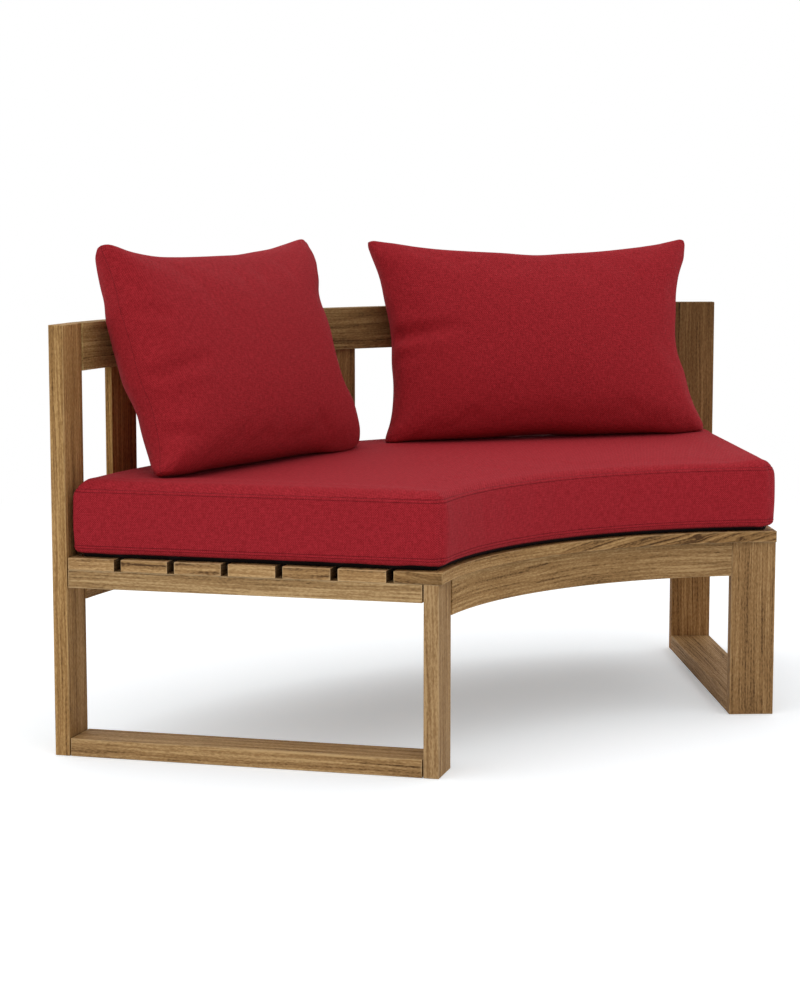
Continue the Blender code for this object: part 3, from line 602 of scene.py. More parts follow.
boards = []
for side, label in ((-1, "left"), (1, "right")):
    for part, angle, axis in (
            ("rear_post", HALF_SECTOR, UPRIGHT), ("front_leg", HALF_SECTOR, UPRIGHT),
            ("bottom_rail", HALF_SECTOR, ALONG_RADIUS), ("side_rail", HALF_SECTOR, ALONG_RADIUS),
            ("bearer", BEARER_ANGLE, ALONG_RADIUS)):
        bored = part in ("side_rail", "bearer")
        boards.append(add_straight_board(f"{label}_{part}", end_turn(side, angle), axis, bored))
for index in range(1, SLATS + 1):
    middle = sum(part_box(f"back_slat_{index}"), Vector()) / 2 - RING
    boards.append(add_straight_board(
        f"back_slat_{index}", math.atan2(middle.y, middle.x), UPRIGHT))
print(len(boards), "straight boards")

# %% [markdown]
# ## Curved boards
# The aprons, the back rail and the seven seat slats are sawn to circles round the ring's centre. A
# board's section is drawn once with rounded corners and spun round that centre. Where a board meets
# a post or a leg, its ends are cut by a plane that lies against it, and the rims are eased. The
# narrow gaps between the slats and the joint under the front one are drawn darker as painted
# shade, so a curved board keeps one more note: how deep each of its points lies in that shade.

# %% Making one curved board
CURVE_STEPS = 96
CLEAR_SHARE = 0.5  # share of the sector in which every board is whole
SQUARE = ((0, 0), (1, 0), (1, 1), (0, 1))


def curved_spans(name):
    """Radii, heights and the distance from the end frames' outer faces of a curved board."""
    points = node_points(name)
    radii = [point.xy.length for point in points
             if abs(point.x) < CLEAR_SHARE * point.y * math.tan(HALF_SECTOR)]
    heights = spans(points)[2]
    inward = Vector((math.cos(HALF_SECTOR), math.sin(HALF_SECTOR), 0))
    inset = min(point.dot(inward) for point in points if point.z < heights[0] + TOUCH)
    return (min(radii), max(radii)), heights, max(inset, 0.0)


def gap_share(place, half, gap_sides, groove):
    """How deep a point lies in a gap beside another slat, or in the groove under the front slat."""
    if any(abs(place[1] - side * half[1]) < TOUCH for side in gap_sides):
        return 1.0
    if groove and place[1] < EDGE_ROUND - half[1] + TOUCH:
        return math.sqrt(max(1 - (half[2] - groove * place[2]) / EDGE_ROUND, 0.0))
    return 0.0


def add_curved_board(name, finish, gap_sides=(), groove=0):
    """A rounded board on an arc. Its gap sides, -1 inner and 1 outer, face another slat, and its
    groove, -1 below and 1 above, is the joint that shows between the front slat and the apron."""
    radii, heights, inset = curved_spans(name)
    bm = bmesh.new()
    out = Vector((-math.sin(HALF_SECTOR), math.cos(HALF_SECTOR), 0))
    corners = [bm.verts.new(out * radii[a] + Vector((0, 0, heights[b]))) for a, b in SQUARE]
    bm.faces.new(corners)
    round_edges(bm, corners, EDGE_ROUND, kind="VERTICES")
    bmesh.ops.spin(
        bm, geom=bm.verts[:] + bm.edges[:] + bm.faces[:], cent=(0, 0, 0), axis=(0, 0, -1),
        angle=2 * HALF_SECTOR, steps=CURVE_STEPS, use_merge=False, use_duplicate=False)
    if inset > TOUCH:
        for side in (-1, 1):
            inward = Vector((-side * math.cos(HALF_SECTOR), math.sin(HALF_SECTOR), 0))
            bmesh.ops.bisect_plane(
                bm, geom=bm.verts[:] + bm.edges[:] + bm.faces[:], dist=TOUCH / 10,
                plane_co=inward * inset, plane_no=-inward, clear_outer=True)
            rim = [edge for edge in bm.edges if edge.is_boundary]
            bmesh.ops.holes_fill(bm, edges=rim, sides=0)
    bmesh.ops.recalc_face_normals(bm, faces=bm.faces[:])
    rims = {edge for face in bm.faces if len(face.verts) > 4 for edge in face.edges}
    round_edges(bm, list(rims), SHOULDER_END, END_SEGMENTS)
    radius, height = sum(radii) / 2, sum(heights) / 2
    places = [(math.atan2(vert.co.x, vert.co.y) * radius, vert.co.xy.length - radius,
               vert.co.z - height) for vert in bm.verts]
    bmesh.ops.translate(bm, vec=RING, verts=bm.verts[:])
    piece = add_piece(name + "_board", bm, "frame", finish)
    half = (max(place[0] for place in places), (radii[1] - radii[0]) / 2,
            (heights[1] - heights[0]) / 2)
    # how deep each point lies in the painted shade of a gap or of the groove
    in_gap = [gap_share(place, half, gap_sides, groove) for place in places]
    return fit_board(piece, name, places, half, gap=in_gap)


print("One step of a curve turns", round(math.degrees(2 * HALF_SECTOR / CURVE_STEPS), 2), "degrees")

# %% Curved boards
for name in ("front_apron", "rear_apron", "back_rail"):
    boards.append(add_curved_board(name, teak, groove=int(name == "front_apron")))
for index in range(1, SLATS + 1):
    gap_sides = [side for side, last in ((-1, 1), (1, SLATS)) if index != last]
    finish, groove = (teak_knotty, -1) if index == 1 else (teak_slat, 0)
    boards.append(add_curved_board(f"seat_slat_{index}", finish, gap_sides, groove))
print(len(boards), "boards in all")

# %% [markdown]
# ## Screws
# The screws that hold the seat slats from below are stainless steel, turned and a little dull. They
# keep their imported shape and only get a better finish: fine rings from the lathe, and a roughness
# that varies as it does where a driver has slipped.

# %% Screw finish
STEEL, DULL_STEEL = (0.60, 0.59, 0.57, 1.0), (0.48, 0.47, 0.45, 1.0)
LATHE_MARKS = (900.0, 900.0, 4200.0)
MARK_RANGE, STEEL_ROUGH = (0.3, 0.7), (0.26, 0.42)
STEEL_RELIEF = (0.3, 0.0001)

steel, tree = new_material("stainless_steel")
marks = Wire(add_node(tree, "TexCoord").outputs["Object"]).noise(LATHE_MARKS)
end_material(tree, marks, STEEL_RELIEF, {
    "Base Color": marks.eased(*MARK_RANGE).mix(STEEL, DULL_STEEL), "Metallic": 1.0,
    "Roughness": marks.eased(*MARK_RANGE, *STEEL_ROUGH)})
for name in screws:
    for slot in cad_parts[name].material_slots:
        slot.material = steel
print(len(screws), "screws in stainless steel")

# %% [markdown]
# ## Woven cloth
# The covers are a plain weave of slubby red yarn, woven from threads nearly two millimetres thick.
# From a few steps away the threads are only a faint check, and the yarn's thick and thin places
# show as short light and dark dashes, upright and level. The group draws both: round threads that
# pass over and under each other, and two sets of dashes, along the warp and along the weft. It
# reads the flat cloth's own coordinates in metres, so the weave follows the cloth round a curve.

# %% Weave group
THREAD = 0.0018
DASHES = ((480.0, 95.0, 1.0), (95.0, 480.0, 1.0))  # of the warp and of the weft
WASHED = (7.0, 7.0, 1.0)  # faded patches to the metre
YARN_RANGE = (0.25, 0.75)  # values of the noise where the yarn is thinnest and thickest
YARN_TONE, WASHED_TONE, CROSSING_TONE = 0.34, 0.08, 0.40  # how much lighter each makes the cloth
FULL_LIGHT = 0.80
YARN_RELIEF = 0.5

weave, given, weave_end = new_group(
    "Woven cloth", [("Cloth", "Vector"), ("Light", "Color"), ("Dark", "Color")],
    [("Color", "Color"), ("Height", "Float")])
turns = [axis * (math.pi / THREAD) for axis in given["Cloth"].parts()[:2]]
crossings = turns[0].math("SINE") * turns[1].math("SINE")
warp, weft = (given["Cloth"].noise(dashes, 1.0).eased(*YARN_RANGE) for dashes in DASHES)
yarn = warp + weft
washed = given["Cloth"].noise(WASHED)
light_share = yarn * YARN_TONE + washed * WASHED_TONE + crossings * CROSSING_TONE
feed(weave, weave_end, {
    "Color": light_share.eased(0.0, FULL_LIGHT).mix(given["Dark"], given["Light"]),
    "Height": yarn * YARN_RELIEF + crossings})
print("Weave group has", len(weave.nodes), "nodes")

# %% Cloth finish
# painted shade: the cushion's underside is drawn near black, so the gap under its lower edge shows
# as a black shadow line
UNDERSIDE_PAINTED_SHADE = (0.005, 0.004, 0.004, 1.0)
SEAM_WIDTH = (0.0003, 0.0011)  # fully dark within the first distance, and gone at the second
SEAM_SHARE = 0.55
CLOTH_RELIEF = (0.6, 0.0004)
SHEEN_TINT = (0.95, 0.45, 0.50, 1.0)


def cloth_finish(name, light, dark, thread):
    """Woven cover. The seam note is the distance to a stitched line, in metres."""
    made, tree = new_material(name)
    flat = add_node(tree, "UVMap", uv_map="cloth")
    cloth = add_node(
        tree, "Group", {"Cloth": flat, "Light": light, "Dark": dark}, node_tree=weave).outputs
    stitched = note(tree, "seam").eased(*SEAM_WIDTH, 1.0, 0.0) * SEAM_SHARE
    end_material(tree, cloth["Height"], CLOTH_RELIEF, {
        # the underside note mixes in the near-black painted shade
        "Base Color": note(tree, "underside_painted_shade").mix(stitched.mix(cloth["Color"], thread), UNDERSIDE_PAINTED_SHADE),
        "Roughness": 0.88, "Specular IOR Level": 0.16,
        "Sheen Weight": 0.03, "Sheen Roughness": 0.5, "Sheen Tint": SHEEN_TINT})
    return made


seat_cloth = cloth_finish(
    "seat_cloth", (0.432, 0.022, 0.033, 1.0), (0.250, 0.007, 0.012, 1.0),
    (0.130, 0.006, 0.010, 1.0))
pillow_cloth = cloth_finish(
    "pillow_cloth", (0.424, 0.021, 0.030, 1.0), (0.240, 0.007, 0.011, 1.0),
    (0.120, 0.006, 0.009, 1.0))
print("Two cloths, with threads", THREAD * 1000, "mm thick")

# %% [markdown]
# ## The seat cushion
# The seat is a boxed cushion: a top and a bottom panel joined by an upright band. Its plan follows
# the ring, its corners are soft, and its filling pushes the top up a little in the middle. A grid
# is laid out on the plan, lifted into a box with a few rows up the side, and each vertex is moved
# to its place on the rounded form. The rows beside each seam are only millimetres apart, so that
# the two stitched lines can be drawn in as real grooves. An extrusion numbers its new parts in
# another order each time, which changes the ripples of the cloth later on, so the box is put in
# order at once.

# %% Seat cushion form
SEAT_FLOOR = 0.3196
SEAT_FRONT, SEAT_BACK = 0.632, 1.2423  # the fullest outline
SEAT_END = 0.0006
SEAT_TUCK = 0.0070  # height of the lower edge
SEAT_UNDER = 0.005  # how far the gap below it runs in
SEAT_SEAMS = (0.0151, 0.1090)  # heights above the slats
SEAT_TOP = 0.1175
SEAT_CROWN = 0.0055
SEAT_RISE = 0.0065  # the filling stands higher behind the pillows and at the two ends
RISE_BACK, RISE_ENDS = (0.45, 0.85), (0.80, 0.96)  # where it starts and is full, as grid shares
END_RISE = 0.8  # share of the rise at the two ends
SEAT_BULGE = 0.0015
SEAT_ROUND, SEAT_HEM = 0.022, 0.009  # rounding of the upper and of the lower edge
SEAT_CORNER = 0.026
SEAT_CELLS = (150, 60)
EDGE_CROWDING = 0.85  # how strongly the cells draw together towards the edges


def crowded(share, crowding):
    """A grid share from -1 to 1, drawn towards its ends."""
    return (1 - crowding) * share + crowding * math.sin(math.pi / 2 * share)


def round_off(x, y, half_x, half_y, radius):
    """Draws the square contours of a panel round at its corners."""
    over_x, over_y = abs(x) - (half_x - radius), abs(y) - (half_y - radius)
    if over_x <= 0 or over_y <= 0:
        return x, y
    keep = max(over_x, over_y) / math.hypot(over_x, over_y)
    return (math.copysign(half_x - radius + over_x * keep, x),
            math.copysign(half_y - radius + over_y * keep, y))


def arc_inset(radius, over):
    """How far a rounded edge has turned in at a height over the start of its rounding."""
    return radius - math.sqrt(radius ** 2 - min(max(over, 0.0), radius) ** 2)


def smooth_step(value, low, high):
    """Nought below low, one above high, and a soft slope between them."""
    share = min(max((value - low) / (high - low), 0.0), 1.0)
    return share * share * (3 - 2 * share)


def side_inset(height):
    """How far the side lies inside the fullest outline at a height."""
    up = (2 * height - SEAT_TUCK - SEAT_TOP) / (SEAT_TOP - SEAT_TUCK)
    return (SEAT_BULGE * up ** 2 + arc_inset(SEAT_ROUND, height - (SEAT_TOP - SEAT_ROUND))
            + arc_inset(SEAT_HEM, SEAT_TUCK + SEAT_HEM - height))


def seat_plan(along, out, inset):
    """A point of the plan in an outline drawn in by inset, and its distance to the rim."""
    half_depth = (SEAT_BACK - SEAT_FRONT) / 2 - inset
    middle = (SEAT_BACK + SEAT_FRONT) / 2
    radius = middle + half_depth * out
    half_length = radius * (HALF_SECTOR - math.asin(SEAT_END / radius)) - inset
    x, y = round_off(
        half_length * along, half_depth * out, half_length, half_depth, SEAT_CORNER - inset / 2)
    angle = x / (middle + y)
    edge = min(half_length * (1 - abs(along)), half_depth * (1 - abs(out)))
    return Vector((math.sin(angle), math.cos(angle), 0)) * (middle + y), edge


def seat_place(along, out, row, levels):
    """A vertex on the cushion's bottom panel, on a row of its side band or on its top panel."""
    height = levels[row]
    plan, edge = seat_plan(along, out, side_inset(height))
    if row == len(levels) - 1:
        rest = max(SEAT_ROUND - arc_inset(SEAT_ROUND, height - (SEAT_TOP - SEAT_ROUND)) - edge, 0.0)
        height = SEAT_TOP - SEAT_ROUND + math.sqrt(SEAT_ROUND ** 2 - rest ** 2)
        height += SEAT_CROWN * (1 - along ** 2) * (1 - out ** 2)
        rise = max(smooth_step(out, *RISE_BACK), END_RISE * smooth_step(abs(along), *RISE_ENDS))
        height += SEAT_RISE * rise * smooth_step(edge, 0.0, SEAT_ROUND)
    elif row == 0:
        height *= 1 - smooth_step(edge, 0.0, SEAT_UNDER)
    return RING + plan + Vector((0, 0, SEAT_FLOOR + height))


print("Seat cushion crown:", round(SEAT_TOP + SEAT_CROWN, 4), "m above the slats")

# %% Seat cushion mesh
STITCH_GAP = 0.0046  # between the two stitched lines of a seam
STITCH_HALF = 0.0008  # half the width of a line's groove
STITCH_DEPTH = 0.0010
BAND_ROWS = 14
HEM_STEP = 0.00035
PANEL_NORMAL = 0.6  # a face whose normal is more upright than this is part of a panel


def band_levels():
    """Heights of the side band's rows, crowded beside the stitched lines, and the lines' rows."""
    low, high = SEAT_SEAMS
    lines = [low, low + STITCH_GAP, high - STITCH_GAP, high]
    rows = {round(line + step * STITCH_HALF, 6) for line in lines for step in (-2, -1, 0, 1, 2)}
    rows.update(SEAT_TUCK + HEM_STEP * step ** 2 for step in range(5))
    first, last = lines[1] + 3 * STITCH_HALF, lines[2] - 3 * STITCH_HALF
    rows.update(first + (last - first) * row / BAND_ROWS for row in range(BAND_ROWS + 1))
    levels = sorted(row for row in rows if row <= high + TOUCH)
    return levels, [min(range(len(levels)), key=lambda i: abs(levels[i] - line)) for line in lines]


def put_in_order(bm):
    """Orders the vertices by their places, and the edges and faces by their vertices."""
    for items, order in (
            (bm.verts, lambda vert: [round(value, 5) for value in vert.co.zyx]),
            (bm.edges, lambda edge: sorted(vert.index for vert in edge.verts)),
            (bm.faces, lambda face: sorted(vert.index for vert in face.verts))):
        for index, item in enumerate(sorted(items, key=order)):
            item.index = index
        items.sort()


def boxed_grid(cells, levels):
    """A box of panels and rows, with each vertex's grid shares and row kept on it."""
    bm = bmesh.new()
    bmesh.ops.create_grid(bm, x_segments=cells[0], y_segments=cells[1], size=1.0)
    for item in bmesh.ops.extrude_face_region(bm, geom=bm.faces[:])["geom"]:
        if isinstance(item, bmesh.types.BMVert):
            item.co.z = 1.0
    upright = [edge for edge in bm.edges if edge.verts[0].co.z != edge.verts[1].co.z]
    bmesh.ops.subdivide_edges(bm, edges=upright, cuts=len(levels) - 2, use_grid_fill=False)
    put_in_order(bm)
    notes = {key: bm.verts.layers.float.new(key) for key in ("along", "out", "row")}
    for vert in bm.verts:
        vert[notes["along"]] = crowded(vert.co.x, EDGE_CROWDING)
        vert[notes["out"]] = crowded(vert.co.y, EDGE_CROWDING)
        vert[notes["row"]] = round(vert.co.z * (len(levels) - 1))
    return bm, notes


def lay_cloth(bm, flat):
    """Writes the flat cloth's coordinates; flat gives them for a vertex of a face."""
    layer = bm.loops.layers.uv.new("cloth")
    for face in bm.faces:
        for loop in face.loops:
            loop[layer].uv = flat(face, loop.vert)


levels, line_rows = band_levels()
seat_bm, seat_notes = boxed_grid(SEAT_CELLS, levels)
for vert in seat_bm.verts:
    along, out, row = (vert[seat_notes[key]] for key in ("along", "out", "row"))
    vert.co = seat_place(along, out, int(row), levels)
bmesh.ops.recalc_face_normals(seat_bm, faces=seat_bm.faces[:])
seat_bm.normal_update()


def seat_flat(face, vert):
    """Flat coordinates: the panels are cut from straight cloth, and the band follows its edge."""
    if abs(face.normal.z) > PANEL_NORMAL:
        return vert.co.x, vert.co.y
    away = vert.co - RING
    if all(abs(corner[seat_notes["out"]]) > 1 - TOUCH for corner in face.verts):
        return math.atan2(away.x, away.y) * away.xy.length, vert.co.z
    return away.xy.length, vert.co.z


lay_cloth(seat_bm, seat_flat)
print("Seat cushion has", len(seat_bm.faces), "faces,", len(levels), "rows up its side")

# %% [markdown]
# A real cushion is never as even as a formula. Its cover is cut a little larger than the foam and
# pushed outwards from within, so it ripples beside the seams. Blender's cloth does the same: the
# pressure blows the cover up for twenty frames while its seams are held and it is allowed some
# slack. Only the ripples of a middle size are kept of that, a few millimetres at most: waves as
# short as the mesh's own cells aren't folds of cloth, and the broad form is already the cushion's
# own. The stitched lines are drawn in afterwards, or the cloth would smooth them away.

# %% Puffing up a cover
PUFF_FRAMES = 20
THREAD_PASSES = 6  # smoothing that takes out waves as short as the mesh's own cells
COVER = {"quality": 6, "mass": 0.25, "tension_stiffness": 12.0, "compression_stiffness": 12.0,
         "shear_stiffness": 5.0, "bending_stiffness": 0.12, "use_pressure": True}


def puff(piece, held, pressure, slack):
    """Blows a cover up as cloth, its seams held in place, and returns where its points went."""
    sewn = piece.vertex_groups.new(name="sewn")
    sewn.add(held, 1.0, "ADD")
    cloth = piece.modifiers.new("puff", "CLOTH")
    own = {"vertex_group_mass": sewn.name, "uniform_pressure_force": pressure,
           "shrink_min": -slack}
    for key, value in {**COVER, **own}.items():
        setattr(cloth.settings, key, value)
    cloth.settings.effector_weights.gravity = 0.0
    cloth.point_cache.frame_start, cloth.point_cache.frame_end = 1, PUFF_FRAMES
    for number in range(1, PUFF_FRAMES + 1):
        bpy.context.scene.frame_set(number)
    blown = piece.evaluated_get(bpy.context.evaluated_depsgraph_get()).data
    places = np.array([vert.co for vert in blown.vertices])
    piece.modifiers.remove(cloth)
    piece.vertex_groups.remove(sewn)
    bpy.context.scene.frame_set(1)
    return places


def neighbour_mean(values, ends, degree):
    """The mean of each point's neighbours along its edges."""
    total = np.zeros_like(values)
    for near, far in (ends, ends[::-1]):
        for axis in range(3):
            total[:, axis] += np.bincount(near, weights=values[far, axis], minlength=len(values))
    return total / degree


def ripple(piece, held, pressure, slack, passes, cap):
    """Adds the ripples of a puffed cover, and leaves its broad form and its seams as sewn."""
    sewn = np.array([vert.co for vert in piece.data.vertices])
    move = puff(piece, held, pressure, slack) - sewn
    ends = np.array([edge.vertices[:] for edge in piece.data.edges]).T
    degree = np.bincount(ends.ravel(), minlength=len(sewn))[:, None]
    smoothed = [move]
    for _ in range(passes):
        smoothed.append((smoothed[-1] + neighbour_mean(smoothed[-1], ends, degree)) / 2)
        smoothed[-1][held] = 0.0
    kept = smoothed[THREAD_PASSES] - smoothed[-1]
    length = np.linalg.norm(kept, axis=1, keepdims=True)
    kept *= np.minimum(1.0, cap / np.maximum(length, cap / 10))
    piece.data.vertices.foreach_set("co", (sewn + kept).ravel())
    piece.data.update()
    return float(np.linalg.norm(kept, axis=1).max())


print("The puffing takes", PUFF_FRAMES, "frames")

# %% Seat cushion
SEAT_PUFF = {"pressure": 3.0, "slack": 0.010, "passes": 120, "cap": 0.0010}


def note_values(piece, key):
    """What a note says at each vertex."""
    return [value.value for value in piece.data.attributes[key].data]


seat = add_piece("seat_cushion_cover", seat_bm, "seat_cushion", seat_cloth)
held, seams, underside_painted_shade = [], [], []
notes = zip(*(note_values(seat, key) for key in ("row", "along", "out")))
for index, (row, along, out) in enumerate(notes):
    height = levels[int(row)]
    on_rim = max(abs(along), abs(out)) > 1 - TOUCH
    to_line = min(abs(height - levels[line]) for line in line_rows)
    if not on_rim:
        to_line = seat_plan(along, out, side_inset(height))[1] if row else 1.0
    elif row in line_rows:
        held.append(index)
    seams.append(to_line)
    # painted shade: the bottom panel inside its rim is marked to be drawn near black
    underside_painted_shade.append(float(row == 0 and not on_rim))
moved = ripple(seat, held, **SEAT_PUFF)
normals = [seat.data.vertices[index].normal.copy() for index in held]
for index, normal in zip(held, normals):
    seat.data.vertices[index].co -= normal * STITCH_DEPTH
for vert in seat.data.vertices:
    vert.co.z = max(vert.co.z, SEAT_FLOOR)
write_notes(seat, {"seam": seams, "underside_painted_shade": underside_painted_shade})
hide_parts("seat_cushion")
print("Seat cushion moved", round(moved * 1000, 2), "mm at most while it was puffed up")

# %% [markdown]
# ## The pillows
# Each pillow is two flat panels sewn together at their edges and stuffed. Stuffing makes the middle
# fat, pulls the sides in between the corners and leaves the corners as soft ears. The form below is
# two grids that share their seam, bent into that shape and leant on the back rail, and the cloth
# then adds its soft ripples.

# %% Pillow form
# Each list of draws says how far an edge pulls in at even steps between its two corners, and the
# sag how far the filling of the front has sunk, as a share of half the height.
PILLOWS = {
    "left_pillow": {
        "sag": 0.20, "width": 0.605, "height": 0.383, "front": 0.0758, "back": 0.0943,
        "flat": (0.300, 0.320),
        "left": (0.0186, 0.0249, 0.0267, 0.0163, 0.0156, 0.0151, 0.0117, 0.0148, 0.0106),
        "right": (0.0089, 0.0143, 0.0298, 0.0337, 0.0317, 0.0313, 0.0301, 0.0099, -0.0006),
        "top": (0.0163, 0.0261, 0.0288, 0.0293, 0.0289, 0.0280, 0.0234, 0.0181, 0.0093),
        "foot": (-0.0050, -0.0038, -0.0042, -0.0050, -0.0058, -0.0052, -0.0074, -0.0159, -0.0184),
        "angle": -18.0, "twist": 3.13, "lean": 17.1, "centre": Vector((-0.3515, 1.0840, 0.6309))},
    "right_pillow": {
        "sag": 0.29, "width": 0.665, "height": 0.381, "front": 0.078, "back": 0.078,
        "flat": (0.330, 0.300),
        "left": (0.0174, 0.0276, 0.0330, 0.0337, 0.0371, 0.0359, 0.0302, 0.0249, 0.0147),
        "right": (0.0178, 0.0312, 0.0384, 0.0493, 0.0494, 0.0432, 0.0372, 0.0264, 0.0110),
        "top": (0.0097, 0.0184, 0.0234, 0.0272, 0.0320, 0.0293, 0.0260, 0.0202, 0.0125),
        "foot": (0.0008, 0.0021, 0.0039, 0.0067, 0.0067, 0.0023, 0.0005, -0.0023, -0.0066),
        "angle": 17.8, "twist": 0.7, "lean": 13.6, "centre": Vector((0.3508, 1.0948, 0.6253))}}
PILLOW_CORNER = 0.018
PILLOW_CELLS = (92, 62)
PILLOW_CROWDING = 0.75
PILLOW_PUFF = {"pressure": 4.0, "slack": 0.025, "passes": 160, "cap": 0.0024}
TINY = 1e-9
SMOOTH_CURVE = np.array([[0, 2, 0, 0], [-1, 0, 1, 0], [2, -5, 4, -1], [-1, 3, -3, 1]]) / 2


def draw_at(draws, share):
    """How far an edge pulls in, on a smooth curve through its draws and its two corners."""
    knots = [-draws[0], 0.0, *draws, 0.0, -draws[-1]]
    last = len(draws) + 1
    step = min(max((share + 1) / 2 * last, 0.0), last - TINY)
    return (step % 1) ** np.arange(4) @ SMOOTH_CURVE @ knots[int(step):int(step) + 4]


def pillow_place(across, up, front, sizes):
    """A point of the pillow from its grid shares, on its front (1) or back (-1) panel."""
    half_x = sizes["width"] / 2 - draw_at(sizes["left" if across < 0 else "right"], up)
    half_z = sizes["height"] / 2 - draw_at(sizes["top" if up > 0 else "foot"], across)
    x, z = round_off(half_x * across, half_z * up, half_x, half_z, PILLOW_CORNER)
    flat_across, flat_up = sizes["flat"]
    sunk = up + sizes["sag"] * (1 - up ** 2) if front > 0 else up
    fullness = max(1 - across ** 2, 0.0) ** flat_across * max(1 - sunk ** 2, 0.0) ** flat_up
    thickness = sizes["front"] if front > 0 else sizes["back"]
    return Vector((x, -front * thickness * fullness, z))


def pillow_turn(sizes):
    """The pillow's lean and heading."""
    turn = Matrix.Rotation(math.radians(sizes["twist"] - sizes["angle"]), 3, "Z")
    return turn @ Matrix.Rotation(-math.radians(sizes["lean"]), 3, "X")


def cloth_lengths(panel, columns):
    """Where a panel's points lie in the flat cloth, measured along its threads from the middle."""
    grid = np.array([vert.co for vert in panel]).reshape(-1, columns, 3)
    lengths = []
    for axis in (1, 0):
        steps = np.linalg.norm(np.diff(grid, axis=axis), axis=2)
        path = np.insert(np.cumsum(steps, axis=axis), 0, 0.0, axis=axis)
        lengths.append(path - np.take(path, [path.shape[axis] // 2], axis=axis))
    return zip(panel, zip(*(length.ravel().tolist() for length in lengths)))


def pillow_mesh(sizes):
    """Two panels that share their seam, with the flat cloth's coordinates."""
    bm = bmesh.new()
    flat = {}
    notes = {key: bm.verts.layers.float.new(key) for key in ("across", "up", "seam")}
    fronts = bm.faces.layers.int.new("front")
    for front in (1, -1):
        made = bmesh.ops.create_grid(
            bm, x_segments=PILLOW_CELLS[0], y_segments=PILLOW_CELLS[1], size=1.0)["verts"]
        for vert in made:
            on_seam = max(abs(vert.co.x), abs(vert.co.y)) > 1 - TOUCH
            across, up = (crowded(share, PILLOW_CROWDING) for share in vert.co.xy)
            vert[notes["across"]], vert[notes["up"]] = across, up
            vert.co = pillow_place(across, up, front, sizes)
            if on_seam:
                vert.co.y = 0.0
            vert[notes["seam"]] = abs(vert.co.y)
        by_row = sorted(made, key=lambda vert: (round(vert[notes["up"]], 5), vert[notes["across"]]))
        flat.update(cloth_lengths(by_row, PILLOW_CELLS[0] + 1))
        panel = list({face for vert in made for face in vert.link_faces})
        for face in panel:
            face[fronts] = front
        if front < 0:
            bmesh.ops.reverse_faces(bm, faces=panel)
    lay_cloth(bm, lambda face, vert: (flat[vert][0] + face[fronts] * sizes["width"], flat[vert][1]))
    bmesh.ops.remove_doubles(bm, verts=bm.verts[:], dist=TOUCH / 10)
    return bm


print("Pillows are", [sizes["width"] for sizes in PILLOWS.values()], "m wide")

# %% [markdown]
# A few deeper folds run into a stuffed pillow from its seam. Each one is a valley along a short
# line on the front panel, with a low swell on both sides, and it fades out towards its far end.

# %% Folds
FOLD_REACH = 5  # half widths beside its line at which a fold has faded
SWELL, SWELL_WIDTH = 0.4, 2  # of the cloth beside a valley, as shares of its depth and width
FOLD_FADE = 0.7  # how fast a fold gets shallow along its line
FOLDS = {  # start and end as shares across and up, then depth and half width
    "left_pillow": [
        ((-1.00, 0.40), (-0.76, 0.30), 0.0080, 0.012),
        ((-0.99, -0.20), (-0.55, -0.10), 0.0170, 0.013),
        ((-1.00, -0.62), (-0.74, -0.76), 0.0150, 0.013),
        ((-0.97, -0.66), (-0.91, -0.98), 0.0070, 0.011),
        ((1.00, 0.44), (0.86, 0.40), 0.0040, 0.009), ((1.00, -0.40), (0.84, -0.30), 0.0025, 0.010)],
    "right_pillow": [
        ((-1.00, 0.01), (-0.52, 0.08), 0.0230, 0.014),
        ((-1.00, -0.22), (-0.76, -0.17), 0.0090, 0.012),
        ((1.00, -0.10), (0.82, -0.05), 0.0050, 0.010), ((0.05, 1.00), (0.05, 0.84), 0.0030, 0.010)]}


def fold(piece, sizes, start, end, depth, width):
    """Presses one fold into the front panel."""
    half = Vector((sizes["width"] / 2, sizes["height"] / 2))
    first, line = Vector(start) * half, (Vector(end) - Vector(start)) * half
    normals = [vert.normal.copy() for vert in piece.data.vertices]
    for vert, normal in zip(piece.data.vertices, normals):
        away = vert.co.xz - first
        along = min(max(away.dot(line) / line.length_squared, 0.0), 1.0)
        reach = (away - line * along).length / width
        if vert.co.y < 0 and reach < FOLD_REACH:
            valley = math.exp(-reach ** 2) - SWELL * math.exp(-(reach / SWELL_WIDTH) ** 2)
            vert.co -= normal * depth * valley * (1 - along) ** FOLD_FADE


print(sum(len(folds) for folds in FOLDS.values()), "folds")

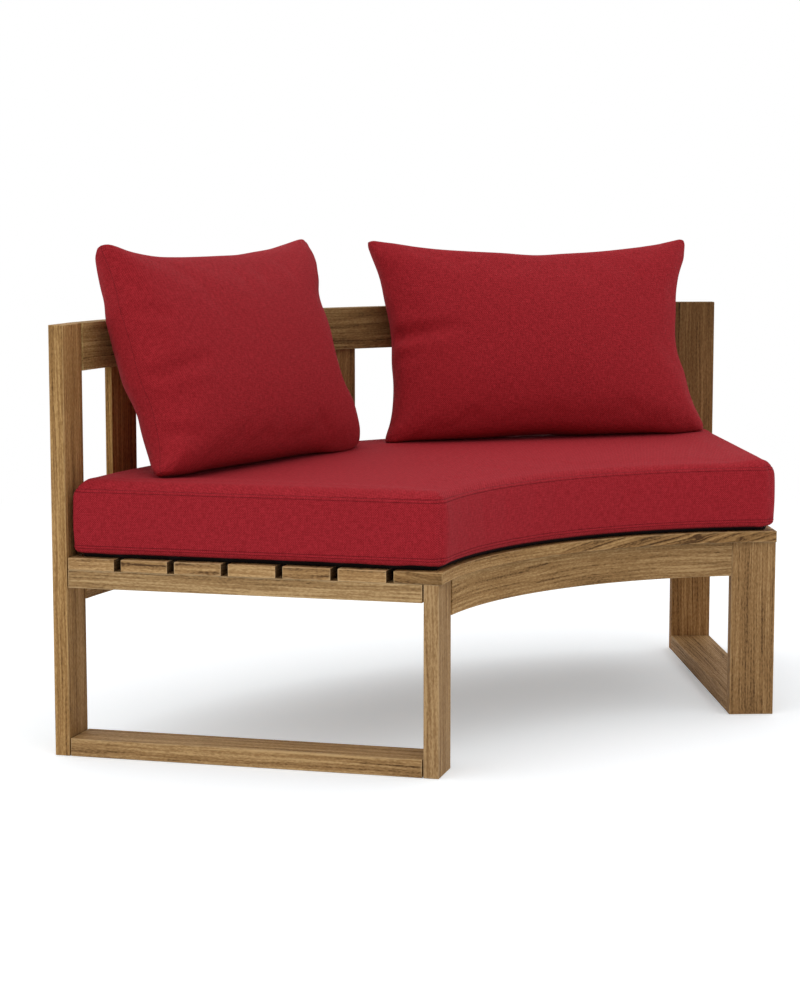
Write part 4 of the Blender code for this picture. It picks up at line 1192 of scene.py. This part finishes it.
# %% [markdown]
# The cloth knows nothing of the bench, so after the puffing each pillow is let down on the seat
# cushion: a ray goes down through each of its points, and a point that has sunk into the seat comes
# back up to it. In the same way nothing stays inside the back rail.

# %% Pillows
RAIL_FACE = 1.2464
RAIL_BAND = (0.606, 0.690)
RAIL_SLOPE = 0.9  # how steeply the cloth swells back out above and below the rail
RESTING_GAP = 0.0004
NEAR_SEAT = SEAT_FLOOR + SEAT_TOP + 0.03  # only points below this height can touch the seat


def search_tree(piece):
    """A search tree of a piece as it is drawn, modifiers included."""
    bm = bmesh.new()
    bm.from_object(piece, bpy.context.evaluated_depsgraph_get())
    tree = BVHTree.FromBMesh(bm)
    bm.free()
    return tree


def settle(piece, seat_tree):
    """Lets a pillow rest on the seat and against the rail, and counts its points on the seat."""
    lifted = 0
    for vert in piece.data.vertices:
        if vert.co.z < NEAR_SEAT:
            hit = seat_tree.ray_cast(Vector((*vert.co.xy, 1.0)), Vector((0, 0, -1)))[0]
            if hit and vert.co.z < hit.z + RESTING_GAP:
                vert.co.z = hit.z + RESTING_GAP
                lifted += 1
        away = (vert.co - RING).xy
        outside = max(RAIL_BAND[0] - vert.co.z, vert.co.z - RAIL_BAND[1], 0.0)
        limit = RAIL_FACE + RAIL_SLOPE * outside
        if away.length > limit:
            vert.co.xy = away * (limit / away.length) + RING.xy
    return lifted


seat_tree = search_tree(seat)
for name, sizes in PILLOWS.items():
    pillow = add_piece(name + "_cover", pillow_mesh(sizes), name, pillow_cloth)
    to_seam = note_values(pillow, "seam")
    held = [index for index, distance in enumerate(to_seam) if distance < TOUCH / 10]
    moved = ripple(pillow, held, **PILLOW_PUFF)
    for line in FOLDS[name]:
        fold(pillow, sizes, *line)
    turn = pillow_turn(sizes).to_4x4()
    pillow.data.transform(Matrix.Translation(RING + sizes["centre"]) @ turn)
    lifted = settle(pillow, seat_tree)
    smooth = pillow.modifiers.new("smooth", "SUBSURF")
    smooth.levels = smooth.render_levels = 1
    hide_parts(name)
    print(name, "moved", round(moved * 1000, 1), "mm at most,", lifted, "points rest on the seat")
